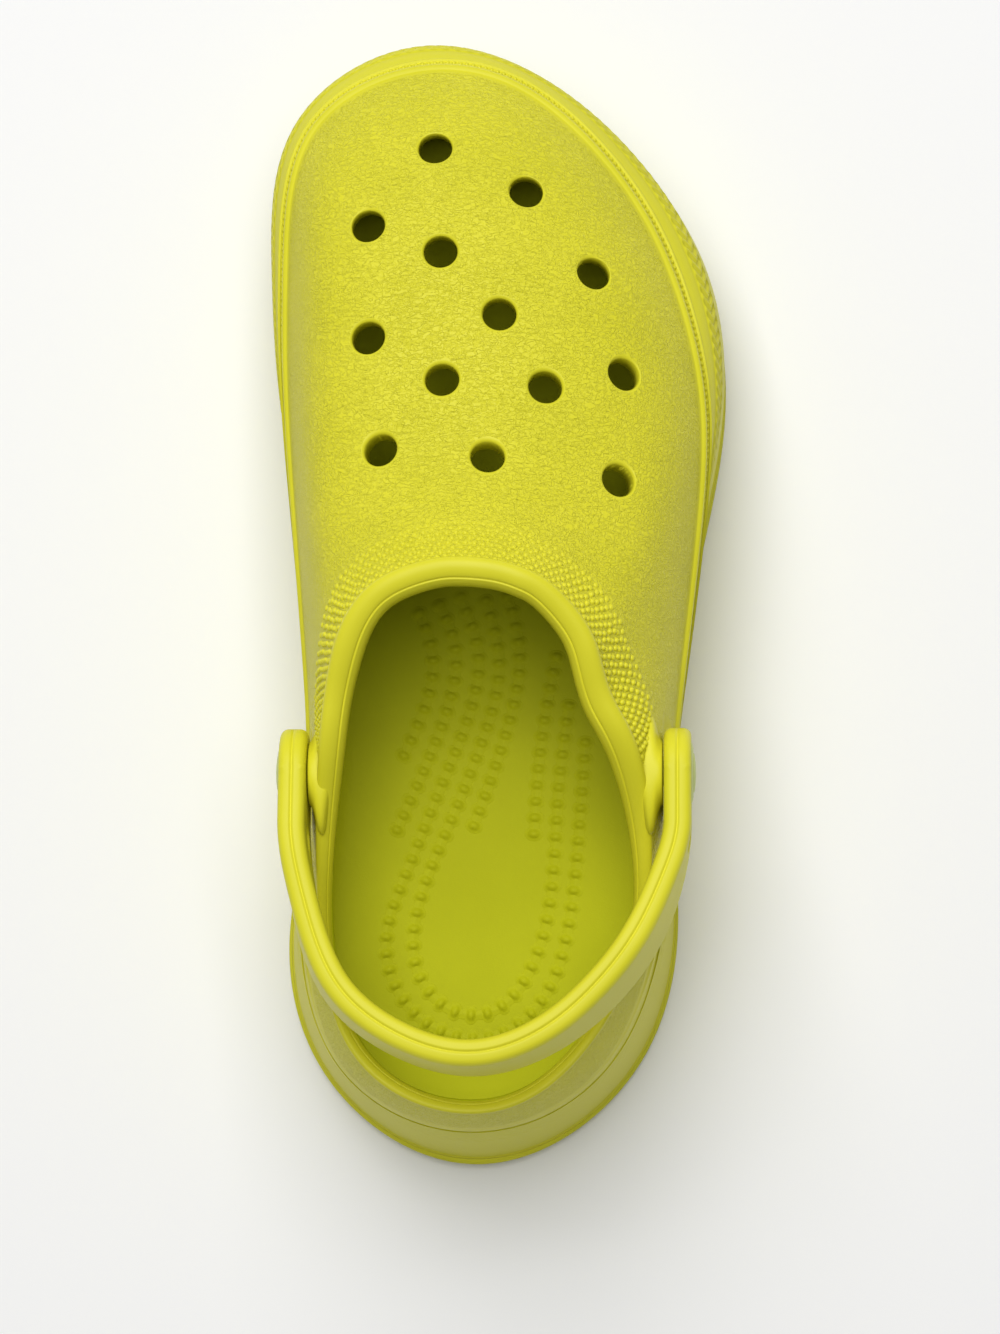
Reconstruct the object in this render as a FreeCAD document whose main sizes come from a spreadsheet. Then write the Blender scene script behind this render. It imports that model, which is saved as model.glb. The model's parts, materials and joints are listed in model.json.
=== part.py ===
import FreeCAD, Part
import Sketcher
import math
import os

os.makedirs("parts", exist_ok=True)
Vector = FreeCAD.Vector
doc = FreeCAD.newDocument("garden_clog")

# Driving dimensions in millimetres and degrees.  +Z is up, +Y points to the toe,
# +X is the outer (lateral) side of this right-foot clog, the ground is Z = 0.
DIMENSIONS = [
    ("wall", 4.4, "thickness of the moulded upper"),
    ("rimWidth", 6.2, "width of the rolled collar bead"),
    ("rimRise", 4.6, "control height of the rolled collar bead"),
    ("outsoleThickness", 6.0, "thickness of the outsole layer"),
    ("outsoleLip", 0.9, "how far the outsole stands proud of the midsole"),
    ("toeSpring", 7.0, "lift of the tread at the toe tip"),
    ("heelRoll", 2.5, "lift of the tread at the back of the heel"),
    ("pocketFloor", 22.0, "height of the midsole floor under the footbed"),
    ("pocketInset", 3.0, "lean of the pocket wall towards the floor"),
    ("heelSeat", 40.0, "footbed height under the heel"),
    ("ballSeat", 32.5, "footbed height under the ball of the foot"),
    ("toeSeat", 35.0, "footbed height at the toes"),
    ("cupRise", 5.5, "how much the footbed edge rises above its middle"),
    ("nubRadius", 1.3, "radius of one massage nub"),
    ("nubRise", 0.8, "height of one massage nub"),
    ("nubPitch", 4.0, "spacing of the nubs along a chain"),
    ("ventDiameter", 8.0, "diameter of a ventilation hole"),
    ("ventBreak", 0.7, "softened mouth of a ventilation hole"),
    ("ventPlumb", 0.8, "how far the toe holes turn from square towards plumb, from 0 to 1"),
    ("ventPlumbFrom", 25.0, "Y where the holes start to turn towards plumb"),
    ("ventPlumbRun", 65.0, "distance in Y over which they turn"),
    ("treadDepth", 2.2, "depth of a tread groove"),
    ("treadWidth", 3.0, "width of a tread groove"),
    ("treadPitch", 12.0, "spacing of the tread grooves"),
    ("pivotY", -46.0, "fore and aft place of the strap rivets"),
    ("pivotZ", 80.0, "height of the strap rivets"),
    ("bossRadius", 8.0, "radius of the flat pad behind a strap end"),
    ("padMargin", 4.0, "how far the flat of a pad reaches past the strap end"),
    ("bossDepth", 5.5, "depth of the wall behind a pad face"),
    ("padLateral", 40.6, "X of the lateral pad face"),
    ("padMedial", -42.0, "X of the medial pad face"),
    ("strapGap", 0.3, "running gap between pad and strap, and strap and cap"),
    ("strapThick", 6.4, "thickness of the heel strap"),
    ("strapHeight", 21.0, "height of the heel strap band and of its round ends"),
    ("strapEdge", 1.9, "rounding of the strap edges"),
    ("spareHole", 6.4, "diameter of the spare hole behind each rivet"),
    ("spareOffset", 16.0, "distance of the spare hole behind the rivet"),
    ("shankDiameter", 6.0, "rivet shank diameter"),
    ("shankClearance", 0.08, "radial running clearance of the shank in the strap"),
    ("capDiameter", 15.0, "rivet cap diameter"),
    ("capThick", 2.4, "rivet cap thickness at the middle"),
    ("capEdge", 1.1, "rivet cap thickness at its edge"),
    ("capSocket", 1.4, "depth of the shank socket in the cap"),
    ("recessDiameter", 17.0, "diameter of the round recess in the strap"),
    ("recessDepth", 1.5, "depth of the round recess in the strap"),
    ("headDiameter", 12.0, "diameter of the rivet head inside the shoe"),
    ("headThick", 1.6, "thickness of the rivet head inside the shoe"),
]

sheet = doc.addObject("Spreadsheet::Sheet", "Dimensions")
for row, (alias, value, note) in enumerate(DIMENSIONS, start=1):
    sheet.set("A%d" % row, alias)
    sheet.set("B%d" % row, str(value))
    sheet.set("C%d" % row, note)
    sheet.setAlias("B%d" % row, alias)
doc.recompute()


def dim(alias):
    """Value of one driving dimension, read from the sheet."""
    return float(sheet.get(alias))


# Stations run clockwise seen from above: toe tip, lateral side, heel, medial side.
# Each holds the bond line between upper and sole, the outer edge of the collar bead,
# the widest line of the sole, how strongly the section belongs to the vamp, the width
# of the bead as a part of rimWidth, and how far the wall fills out towards a strap end.
STATIONS = [
    ((-18, 130, 45), (-5, 1.6, 107), (-19.5, 136.8), 1.0, 1.0, 0.0),
    ((8, 124.5, 45), (3, 0.8, 107), (10.5, 128.8), 1.0, 1.0, 0.0),
    ((30, 104, 46), (9.8, -1.3, 106.5), (34.8, 108), 1.0, 1.0, 0.0),
    ((43.5, 80, 47), (15.8, -4.8, 105), (51, 81.5), 0.9, 1.02, 0.0),
    ((51, 51, 49.5), (22.4, -12.1, 102.5), (55.2, 52), 0.65, 1.05, 0.0),
    ((50.5, 18, 53), (26.2, -20.6, 99.5), (49.5, 18), 0.3, 1.1, 0.0),
    ((46.5, -15, 56), (29.5, -30.7, 95), (43, -15), 0.1, 1.13, 0.25),
    ((42.5, -48, 55.5), (36, -46.2, 87.5), (41, -48), 0.0, 1.05, 1.0),
    ((40.2, -80, 50.5), (36.6, -79, 68), (42.4, -80), 0.0, 0.55, 0.0),
    ((29.5, -110.5, 45.5), (23, -109.2, 66.5), (33.4, -111.8), 0.0, 0.48, 0.0),
    ((-5.5, -129.5, 44), (-5.4, -125.2, 65.5), (-6.5, -136.6), 0.0, 0.47, 0.0),
    ((-38.5, -112.5, 45.5), (-33.1, -110.5, 66.5), (-43.9, -114), 0.0, 0.48, 0.0),
    ((-46.5, -80, 50.5), (-40.8, -79, 68), (-52, -80), 0.0, 0.48, -0.35),
    ((-44.0, -48, 55.5), (-39.2, -46, 87.5), (-45.5, -48), 0.0, 0.85, 0.0),
    ((-45.3, -15, 56), (-37.3, -30.5, 95), (-42.5, -15), 0.1, 0.95, 0.0),
    ((-48.5, 18, 53.5), (-35, -19.5, 99.5), (-47, 18), 0.3, 1.05, 0.0),
    ((-51.5, 51, 50), (-31.2, -10.5, 102.8), (-53, 50), 0.65, 1.05, 0.0),
    ((-52.2, 80, 47.5), (-24.7, -3.6, 105), (-55.4, 81), 0.9, 1.02, 0.0),
    ((-46, 114, 45), (-13.6, 0.8, 106.5), (-50.2, 117), 1.0, 1.0, 0.0),
]
COUNT = len(STATIONS)
WELT = [Vector(*station[0]) for station in STATIONS]
RIM = [Vector(*station[1]) for station in STATIONS]
SOLE = [Vector(station[2][0], station[2][1], 0) for station in STATIONS]
VAMP = [station[3] for station in STATIONS]
BEAD = [station[4] for station in STATIONS]
FULL = [station[5] for station in STATIONS]


def loop_parameters(points):
    """Chord-length parameters of a closed loop, from 0 to 1."""
    steps = [(points[(i + 1) % len(points)] - points[i]).Length for i in range(len(points))]
    total = sum(steps)
    parameters = [0.0]
    for step in steps:
        parameters.append(parameters[-1] + step / total)
    parameters[-1] = 1.0
    return parameters


KNOTS = loop_parameters(SOLE)


def closed_curve(points):
    """Smooth closed curve through one point per station."""
    curve = Part.BSplineCurve()
    curve.interpolate(Points=points, PeriodicFlag=True, Parameters=KNOTS)
    return curve


def inward(points):
    """Level unit vectors that point to the inside of a clockwise loop."""
    normals = []
    for i in range(len(points)):
        along = points[(i + 1) % len(points)] - points[i - 1]
        across = Vector(along.y, -along.x, 0)
        across.normalize()
        normals.append(across)
    return normals


def ring_surface(rows):
    """Closed band whose meridians are Bezier curves over the given rows of points."""
    curves = [closed_curve(row) for row in rows]
    columns = [curve.getPoles() for curve in curves]
    poles = [[column[i] for column in columns] for i in range(len(columns[0]))]
    degree = len(rows) - 1
    surface = Part.BSplineSurface()
    surface.buildFromPolesMultsKnots(
        poles,
        curves[0].getMultiplicities(),
        (degree + 1, degree + 1),
        curves[0].getKnots(),
        (0.0, 1.0),
        True,
        False,
        curves[0].Degree,
        degree,
    )
    return surface


def through(rows):
    """Bezier control rows whose meridians pass through the given rows of points."""
    columns = []
    for i in range(len(rows[0])):
        meridian = Part.BezierCurve()
        meridian.interpolate([[row[i]] for row in rows])
        columns.append(meridian.getPoles())
    return [[column[k] for column in columns] for k in range(len(rows))]


def planar_cap(points):
    """Flat face inside a level loop."""
    return Part.Face(Part.Wire([closed_curve(points).toShape()]))


def solid_from(faces):
    """Closed solid from faces that share their edges."""
    shell = Part.makeShell(faces)
    shell.sewShape()
    solid = Part.Solid(shell)
    if solid.Volume < 0:
        solid.reverse()
    if not solid.isValid():
        solid.fix(0.001, 0.001, 0.001)
    return solid


def moved(points, directions, distance, rise=0.0):
    """Points shifted along their own directions, and up."""
    up = Vector(0, 0, rise)
    return [p + d * distance + up for p, d in zip(points, directions)]


def at_height(points, z):
    """The same loop in plan at one height."""
    return [Vector(p.x, p.y, z) for p in points]


# ---- Upper -------------------------------------------------------------------------
wall = dim("wall")
welt_in = inward(WELT)
rim_in = inward(RIM)


def meridian_row(side, vamp, full, inset):
    """Control row between bond line and rim, each shape as (plan, height) fractions.

    On the vamp the row also lies further in by the inset, so that the skin slopes there."""
    row = []
    for foot, head, on_vamp_part, fill, inwards in zip(WELT, RIM, VAMP, FULL, welt_in):
        plan, lift = (a + (b - a) * fill for a, b in zip(side, full))
        plan += (vamp[0] - plan) * on_vamp_part
        lift += (vamp[1] - lift) * on_vamp_part
        span = head - foot
        point = Vector(foot.x + span.x * plan, foot.y + span.y * plan, foot.z + span.z * lift)
        row.append(point + inwards * inset * on_vamp_part)
    return row


outer_rows = [
    WELT,
    meridian_row((0.08, 0.30), (0.0, 0.22), (0.03, 0.30), 6.5),
    meridian_row((0.45, 0.60), (0.30, 0.66), (0.15, 0.61), 2.0),
    meridian_row((0.78, 0.86), (0.80, 0.46), (0.50, 0.90), 0.0),
    RIM,
]
outer_skin = ring_surface(outer_rows)


def inside_point(i, height):
    """Point one wall thickness inside the outer skin at a station."""
    point = outer_skin.value(KNOTS[i], height)
    normal = outer_skin.normal(KNOTS[i], height)
    trial = point + normal * wall
    centre = Vector(-3, point.y * 0.6, 40)
    if (trial - centre).Length > (point - centre).Length:
        normal = normal * -1
    return point + normal * wall


inner_welt = moved(WELT, welt_in, wall)
bead_up = [0.45 + 0.55 * bead for bead in BEAD]
rim_across = [d * bead for d, bead in zip(rim_in, BEAD)]
inner_rim = moved(RIM, rim_across, dim("rimWidth"), -1.5)
inner_rows = through(
    [
        inner_welt,
        [inside_point(i, 0.25) for i in range(COUNT)],
        [inside_point(i, 0.5) for i in range(COUNT)],
        [inside_point(i, 0.75) for i in range(COUNT)],
        inner_rim,
    ]
)
crown_rise = [dim("rimRise") * part for part in bead_up]
bead_rows = [
    RIM,
    [p - d * 1.2 + Vector(0, 0, rise) for p, d, rise in zip(RIM, rim_across, crown_rise)],
    [p + d * 0.6 + Vector(0, 0, rise + 0.8) for p, d, rise in zip(inner_rim, rim_across, crown_rise)],
    inner_rim,
]
upper = solid_from(
    [
        outer_skin.toShape(),
        ring_surface(bead_rows).toShape(),
        ring_surface(inner_rows).toShape(),
        ring_surface([WELT, inner_welt]).toShape(),
    ]
)

# Flat pads behind the strap ends, then the rivet holes with a seat for the inner head.
pivot = Vector(0, dim("pivotY"), dim("pivotZ"))
side_faces = {"lateral": (dim("padLateral"), 1), "medial": (dim("padMedial"), -1)}
shank = dim("shankDiameter") / 2


def bar(x, length, radius, centre=pivot):
    """Round bar along X from x, length may be negative."""
    base = Vector(x, centre.y, centre.z)
    direction = Vector(1 if length > 0 else -1, 0, 0)
    return Part.makeCylinder(radius, abs(length), base, direction)


for face, side in side_faces.values():
    depth = dim("bossDepth")
    upper = upper.fuse(bar(face - side * depth, side * depth, dim("bossRadius")))
    upper = upper.cut(bar(face, side * 8, dim("strapHeight") / 2 + dim("padMargin")))
    upper = upper.cut(bar(face - side * 30, side * 40, shank))
    upper = upper.cut(bar(face - side * (depth + 12), side * (12 + dim("headThick")), dim("headDiameter") / 2))

# Ventilation holes with softened mouths: square to the instep, nearer plumb towards the toe.
VENTS = [
    (-13.6, 104.9), (8.3, 93.8), (-29.3, 85.3), (-11.8, 78.4), (24.5, 73.7), (2.4, 62.8), (-28.8, 57.4),
    (31.8, 48.9), (-11, 46.7), (13.4, 45), (-25.4, 29.8), (0.1, 27.7), (30.6, 22.8),
]


def on_vamp(x, y):
    """Point and outward normal of the outer skin above a place in plan."""
    upright = Part.Line(Vector(x, y, 50), Vector(x, y, 150))
    hits = [Vector(p.X, p.Y, p.Z) for p in upright.intersectCS(outer_skin)[0]]
    top = max(hits, key=lambda p: p.z)
    normal = outer_skin.normal(*outer_skin.parameter(top))
    return top, normal if normal.z > 0 else normal * -1


vent = dim("ventDiameter") / 2
soft = dim("ventBreak")
for x, y in VENTS:
    top, normal = on_vamp(x, y)
    turn = min(max((y - dim("ventPlumbFrom")) / dim("ventPlumbRun"), 0), 1) * dim("ventPlumb")
    bore = (normal * (1 - turn) + Vector(0, 0, turn)).normalize()
    upper = upper.cut(Part.makeCylinder(vent, 14, top + bore * 4, bore * -1))
    mouth = Part.makeCone(vent + 2 * soft, 2 * soft, vent, top + normal * soft, normal * -1)
    upper = upper.cut(mouth)

# ---- Sole --------------------------------------------------------------------------


def sole_row(front_spread, heel_spread, height_part):
    """Row of the sole side: how far it has spread from bond line to widest line."""
    row = []
    for welt_point, widest in zip(WELT, SOLE):
        front = min(1.0, max(0.0, (welt_point.y + 30) / 70))
        spread = heel_spread + (front_spread - heel_spread) * front
        x = welt_point.x + (widest.x - welt_point.x) * spread
        y = welt_point.y + (widest.y - welt_point.y) * spread
        row.append(Vector(x, y, welt_point.z * height_part))
    return row


side_rows = through(
    [
        WELT,
        sole_row(0.70, 0.22, 0.84),
        sole_row(0.98, 0.50, 0.58),
        sole_row(1.00, 0.80, 0.28),
        sole_row(0.88, 1.00, 0.0),
    ]
)
floor_loop = at_height(moved(inner_welt, welt_in, dim("pocketInset")), dim("pocketFloor"))
pocket_rows = [inner_welt, moved(inner_welt, welt_in, 0.6, -9), floor_loop]
pocket_side = ring_surface(pocket_rows)
column = solid_from(
    [
        ring_surface(side_rows).toShape(),
        ring_surface([WELT, inner_welt]).toShape(),
        pocket_side.toShape(),
        planar_cap(floor_loop),
        planar_cap(at_height(side_rows[-1], 0)),
    ]
)


def tread_line(lift):
    """Side-view curve of the tread, raised at toe and heel."""
    points = [
        Vector(0, -150, dim("heelRoll") * 2.2 + lift),
        Vector(0, -137, dim("heelRoll") + lift),
        Vector(0, -112, lift),
        Vector(0, -60, lift),
        Vector(0, 0, lift),
        Vector(0, 62, lift),
        Vector(0, 100, dim("toeSpring") * 0.28 + lift),
        Vector(0, 137, dim("toeSpring") + lift),
        Vector(0, 150, dim("toeSpring") * 1.35 + lift),
    ]
    flat = Part.LineSegment(points[2], points[5])
    heel = Part.BSplineCurve()
    heel.interpolate(Points=points[:3], InitialTangent=Vector(0, 1, -0.25), FinalTangent=Vector(0, 1, 0))
    toe = Part.BSplineCurve()
    toe.interpolate(Points=points[5:], InitialTangent=Vector(0, 1, 0), FinalTangent=Vector(0, 1, 0.25))
    return [heel.toShape(), flat.toShape(), toe.toShape()]


def above(lift, top):
    """Block that lies above the raised tread line."""
    edges = tread_line(lift)
    first = Vector(0, -150, dim("heelRoll") * 2.2 + lift)
    last = Vector(0, 150, dim("toeSpring") * 1.35 + lift)
    corners = [last, Vector(0, 150, top), Vector(0, -150, top), first]
    for start, end in zip(corners, corners[1:]):
        edges.append(Part.LineSegment(start, end).toShape())
    face = Part.Face(Part.Wire(Part.__sortEdges__(edges)))
    face.translate(Vector(-100, 0, 0))
    return face.extrude(Vector(200, 0, 0))


split = dim("outsoleThickness")
midsole = column.common(above(split, 120))
tread_loop = moved(at_height(side_rows[-1], 0), welt_in, -dim("outsoleLip"))
slab = planar_cap(tread_loop).extrude(Vector(0, 0, 20))
outsole = slab.common(above(0, 120)).cut(above(split, 121))
groove_count = int(200 / dim("treadPitch"))
for i in range(groove_count + 1):
    y = -100 + i * dim("treadPitch")
    groove = Part.makeBox(120, dim("treadWidth"), dim("treadDepth"), Vector(-60, y, 0))
    keep = planar_cap(moved(tread_loop, welt_in, 7)).extrude(Vector(0, 0, 10))
    if abs(y + 16) > 1:
        outsole = outsole.cut(groove.common(keep))

# ---- Footbed -----------------------------------------------------------------------


def ease(value, start, end):
    """Smooth step from 0 to 1 between two places."""
    t = min(1.0, max(0.0, (value - start) / (end - start)))
    return t * t * (3 - 2 * t)


def foot_height(x, y):
    """Height of the footbed surface, cupped towards its edges."""
    middle = dim("heelSeat") + (dim("ballSeat") - dim("heelSeat")) * ease(y, -60, 40)
    middle += (dim("toeSeat") - dim("ballSeat")) * ease(y, 60, 125)
    cup = dim("cupRise") * (1 - 0.6 * ease(y, -20, 60))
    return middle + cup * ((x + 4) / 42) ** 2


field = Part.BSplineSurface()
field.interpolate(
    [[Vector(x, y, foot_height(x, y)) for y in range(-150, 151, 20)] for x in range(-70, 71, 20)]
)
below_field = field.toShape().extrude(Vector(0, 0, -60))
lid = at_height(inner_welt, 60)
pocket = solid_from(
    [
        pocket_side.toShape(),
        planar_cap(floor_loop),
        ring_surface([inner_welt, lid]).toShape(),
        planar_cap(lid),
    ]
)
footbed = pocket.common(below_field)


# Massage nubs in chains that follow the foot and turn around the heel.
NUB_CHAINS = [
    [(-19, -4), (-15.5, -16), (-16.5, -24), (-22.5, -39)],
    [(-14, -2), (-10, -14), (-11, -24), (-16.5, -40), (-24, -57)],
    [
        (-9, 0), (-4.5, -14.5), (-7, -30), (-14.5, -49), (-22, -68), (-26.6, -84), (-23, -97),
        (-12, -106), (0, -106.5), (11, -98), (17.5, -80), (20, -58), (21.5, -36),
    ],
    [
        (-3, -1), (0.5, -16), (-3, -34), (-12, -57), (-19, -76), (-19, -91), (-10.5, -100.5),
        (-2, -101), (8, -91), (13.5, -70), (15, -48), (17.5, -27),
    ],
    [(2.5, 0), (5.5, -14), (3.5, -29), (-5.5, -56)],
    [(14.5, -15), (11.5, -31), (9, -58)],
]
nubs = []
for chain in NUB_CHAINS:
    path = Part.BSplineCurve()
    path.interpolate([Vector(x, y, 0) for x, y in chain])
    count = round(path.length() / dim("nubPitch"))
    for spot in path.discretize(count + 1):
        level = foot_height(spot.x, spot.y)
        base = Vector(spot.x, spot.y, level - 2)
        nubs.append(Part.makeCylinder(dim("nubRadius"), 2 + dim("nubRise"), base))
footbed = footbed.fuse(nubs)

# ---- Heel strap --------------------------------------------------------------------
gap = dim("strapGap")
thick = dim("strapThick")
half = dim("strapHeight") / 2
outer_lateral = dim("padLateral") + gap + thick
outer_medial = dim("padMedial") - gap - thick
STRAP_PLAN = [
    (outer_lateral, -57, 0), (44.6, -71.5, 0.9), (38.2, -86.5, 1.6), (28.6, -99.1, 1.7), (14, -110.6, 1.4),
    (-3.5, -115.6, 1.2), (-21, -111.4, 1.2), (-37, -99, 1.2), (-46.1, -76, 0.7), (outer_medial, -57, 0),
]
FRONT_END = -30
plan_points = [Vector(x, y, 0) for x, y, _ in STRAP_PLAN]
leans = [lean / half for _, _, lean in STRAP_PLAN]
backwards = Vector(0, -1, 0)
forwards = Vector(0, 1, 0)


def chord_knots(points):
    """Chord-length parameters of an open line of points, from 0 to 1."""
    steps = [0.0]
    for start, end in zip(points, points[1:]):
        steps.append(steps[-1] + (end - start).Length)
    return [step / steps[-1] for step in steps]


def plan_curve(points, knots):
    """Loop around the heel that leaves both arms straight."""
    curve = Part.BSplineCurve()
    curve.interpolate(Points=points, Parameters=knots, InitialTangent=backwards, FinalTangent=forwards)
    return curve


outer_knots = chord_knots(plan_points)
middle_plan = plan_curve(plan_points, outer_knots)
to_inside = []
for knot in outer_knots:
    along = middle_plan.tangent(knot)[0]
    to_inside.append(Vector(along.y, -along.x, 0).normalize())
inner_knots = chord_knots([p + d * thick for p, d in zip(reversed(plan_points), reversed(to_inside))])

# Side view: a band with round ends that climbs a little towards the heel.
climb = math.radians(10)
middle_line = [
    (dim("pivotY"), dim("pivotZ")),
    (-76, dim("pivotZ") + 30 * math.tan(climb)),
    (-100, dim("pivotZ") + 8.6),
    (-122, dim("pivotZ") + 9.6),
]
start_along = Vector(0, -math.cos(climb), math.sin(climb))


def band_edge(side):
    """Upper (+1) or lower (-1) edge of the strap in the side view."""
    points = [Vector(0, y, z) for y, z in middle_line]
    curve = Part.BSplineCurve()
    curve.interpolate(Points=points, InitialTangent=start_along)
    shifted = []
    for point in points:
        along = curve.tangent(curve.parameter(point))[0]
        shifted.append(point + Vector(0, along.z, -along.y) * half * side)
    edge = Part.BSplineCurve()
    edge.interpolate(Points=shifted, InitialTangent=start_along)
    return edge


def band_middle(y):
    """Height of the strap's middle line at a place fore and aft."""
    for (start_y, start_z), (end_y, end_z) in zip(middle_line, middle_line[1:]):
        if y >= end_y:
            break
    return start_z + (end_z - start_z) * (y - start_y) / (end_y - start_y)


def outline(level):
    """Plan outline of the strap at one height; behind the arms the band leans out at its foot."""
    outer = []
    for point, across, lean in zip(plan_points, to_inside, leans):
        rise = level - band_middle(point.y)
        outer.append(point + across * lean * rise + Vector(0, 0, level))
    inner = [point + across * thick for point, across in zip(outer, to_inside)]
    inner.reverse()
    tips = [Vector(p.x, FRONT_END, level) for p in (outer[0], outer[-1], inner[0], inner[-1])]
    edges = [
        Part.LineSegment(tips[0], outer[0]),
        plan_curve(outer, outer_knots),
        Part.LineSegment(outer[-1], tips[1]),
        Part.LineSegment(tips[1], tips[2]),
        Part.LineSegment(tips[2], inner[0]),
        plan_curve(inner, inner_knots),
        Part.LineSegment(inner[-1], tips[3]),
        Part.LineSegment(tips[3], tips[0]),
    ]
    return Part.Wire([edge.toShape() for edge in edges])


top_edge = band_edge(1)
bottom_edge = band_edge(-1)
nose = Part.Arc(bottom_edge.StartPoint, pivot - start_along * half, top_edge.StartPoint)
tail = Part.LineSegment(top_edge.EndPoint, bottom_edge.EndPoint)
band_wire = Part.Wire(
    Part.__sortEdges__([edge.toShape() for edge in (top_edge, tail, bottom_edge, nose)])
)
band_face = Part.Face(band_wire)
band_face.translate(Vector(-60, 0, 0))
leaning_block = Part.makeLoft([outline(60), outline(120)], True, True)
strap = leaning_block.common(band_face.extrude(Vector(120, 0, 0)))
strap = strap.makeFillet(dim("strapEdge"), strap.Edges)
spare_centre = pivot + start_along * dim("spareOffset")
for face, side in side_faces.values():
    inner_x = face + side * gap
    outer_x = inner_x + side * thick
    strap = strap.cut(bar(inner_x - side, side * 12, shank + dim("shankClearance")))
    strap = strap.cut(bar(outer_x - side * dim("recessDepth"), side * 6, dim("recessDiameter") / 2))
    strap = strap.cut(bar(inner_x - side * 2, side * 12, dim("spareHole") / 2, spare_centre))

# ---- Rivets ------------------------------------------------------------------------
X_AXIS, Y_AXIS = -1, -2


def origin_plane(body, role):
    """One of the body's own origin planes."""
    return next(item for item in body.Origin.OriginFeatures if item.Role == role)


def turned_body(name, corners, dome_after=None):
    """Body of revolution about its Z axis.

    Each corner is (radius, height) as numbers plus the sheet expressions for them;
    dome_after names the corner that starts a domed arc to the next one.
    """
    body = doc.addObject("PartDesign::Body", name)
    sketch = body.newObject("Sketcher::SketchObject", name + "_profile")
    sketch.AttachmentSupport = [(origin_plane(body, "XZ_Plane"), "")]
    sketch.MapMode = "FlatFace"
    count = len(corners)
    values = [Vector(corner[0], corner[1], 0) for corner in corners]
    for i in range(count):
        start, end = values[i], values[(i + 1) % count]
        if i == dome_after:
            crown = (start + end) / 2 + Vector(0.09, 0.22, 0) * (end - start).Length / 4
            sketch.addGeometry(Part.Arc(start, crown, end))
        else:
            sketch.addGeometry(Part.LineSegment(start, end))
    for i in range(count):
        sketch.addConstraint(Sketcher.Constraint("Coincident", i, 2, (i + 1) % count, 1))
    for i, (radius, height, radius_text, height_text) in enumerate(corners):
        for value, text, kind, axis in (
            (radius, radius_text, "DistanceX", Y_AXIS),
            (height, height_text, "DistanceY", X_AXIS),
        ):
            if value == 0:
                sketch.addConstraint(Sketcher.Constraint("PointOnObject", i, 1, axis))
            else:
                number = sketch.addConstraint(Sketcher.Constraint(kind, -1, 1, i, 1, value))
                sketch.setExpression("Constraints[%d]" % number, text)
    if dome_after is not None:
        rise = dim("capThick") - dim("capEdge")
        radius = (dim("capDiameter") ** 2 / 4 + rise**2) / (2 * rise)
        number = sketch.addConstraint(Sketcher.Constraint("Radius", dome_after, radius))
        text = "((%s / 2) ^ 2 + (%s - %s) ^ 2) / (2 * (%s - %s))" % (
            SHEET + "capDiameter",
            SHEET + "capThick",
            SHEET + "capEdge",
            SHEET + "capThick",
            SHEET + "capEdge",
        )
        sketch.setExpression("Constraints[%d]" % number, text)
    doc.recompute()
    turned = body.newObject("PartDesign::Revolution", name + "_turned")
    turned.Profile = sketch
    turned.ReferenceAxis = (sketch, ["V_Axis"])
    turned.Angle = 360
    doc.recompute()
    return body


SHEET = "Dimensions."
stack = 2 * gap + thick - dim("recessDepth")
post_length = dim("bossDepth") + stack + dim("capSocket")
post_text = (
    "Dimensions.bossDepth + 2 * Dimensions.strapGap + Dimensions.strapThick"
    " - Dimensions.recessDepth + Dimensions.capSocket"
)
shank_text = SHEET + "shankDiameter / 2"
head_text = SHEET + "headDiameter / 2"
cap_text = SHEET + "capDiameter / 2"
for label, (face, side) in side_faces.items():
    inwards = face - side * dim("bossDepth")
    turn = FreeCAD.Rotation(Vector(0, 0, 1), Vector(side, 0, 0))
    post = turned_body(
        "rivet_post_" + label,
        [
            (0, 0, None, None),
            (dim("headDiameter") / 2, 0, head_text, None),
            (dim("headDiameter") / 2, dim("headThick"), head_text, SHEET + "headThick"),
            (shank, dim("headThick"), shank_text, SHEET + "headThick"),
            (shank, post_length, shank_text, post_text),
            (0, post_length, None, post_text),
        ],
    )
    post.Placement = FreeCAD.Placement(Vector(inwards, pivot.y, pivot.z), turn)
    cap = turned_body(
        "rivet_cap_" + label,
        [
            (shank, 0, shank_text, None),
            (dim("capDiameter") / 2, 0, cap_text, None),
            (dim("capDiameter") / 2, dim("capEdge"), cap_text, SHEET + "capEdge"),
            (0, dim("capThick"), None, SHEET + "capThick"),
            (0, dim("capSocket"), None, SHEET + "capSocket"),
            (shank, dim("capSocket"), shank_text, SHEET + "capSocket"),
        ],
        dome_after=2,
    )
    cap.Placement = FreeCAD.Placement(Vector(face + side * stack, pivot.y, pivot.z), turn)

# ---- Put the free-form pieces in the document, centre everything, export -------------
FREE_FORMS = {
    "upper_shell": upper,
    "footbed": footbed,
    "midsole": midsole,
    "outsole": outsole,
    "heel_strap": strap,
}
for name, shape in FREE_FORMS.items():
    item = doc.addObject("Part::Feature", name)
    item.Label = name
    item.Shape = shape
doc.recompute()
NODES = list(FREE_FORMS) + ["rivet_%s_%s" % (kind, side) for kind in ("cap", "post") for side in side_faces]
for item in doc.Objects:
    if "Invalid" in item.State or "Error" in item.State:
        raise SystemExit("object %s failed: %s" % (item.Name, item.State))
for name in NODES:
    shape = doc.getObject(name).Shape
    if shape.isNull() or not shape.isValid() or len(shape.Solids) != 1:
        raise SystemExit("shape %s is not one valid solid" % name)
    box = shape.optimalBoundingBox(True, False)
    print("%s volume %.0f x %.1f..%.1f y %.1f..%.1f z %.1f..%.1f" % (
        name, shape.Volume, box.XMin, box.XMax, box.YMin, box.YMax, box.ZMin, box.ZMax))
    shape.exportStep("parts/%s.step" % name)
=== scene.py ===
import json
import math

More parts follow.
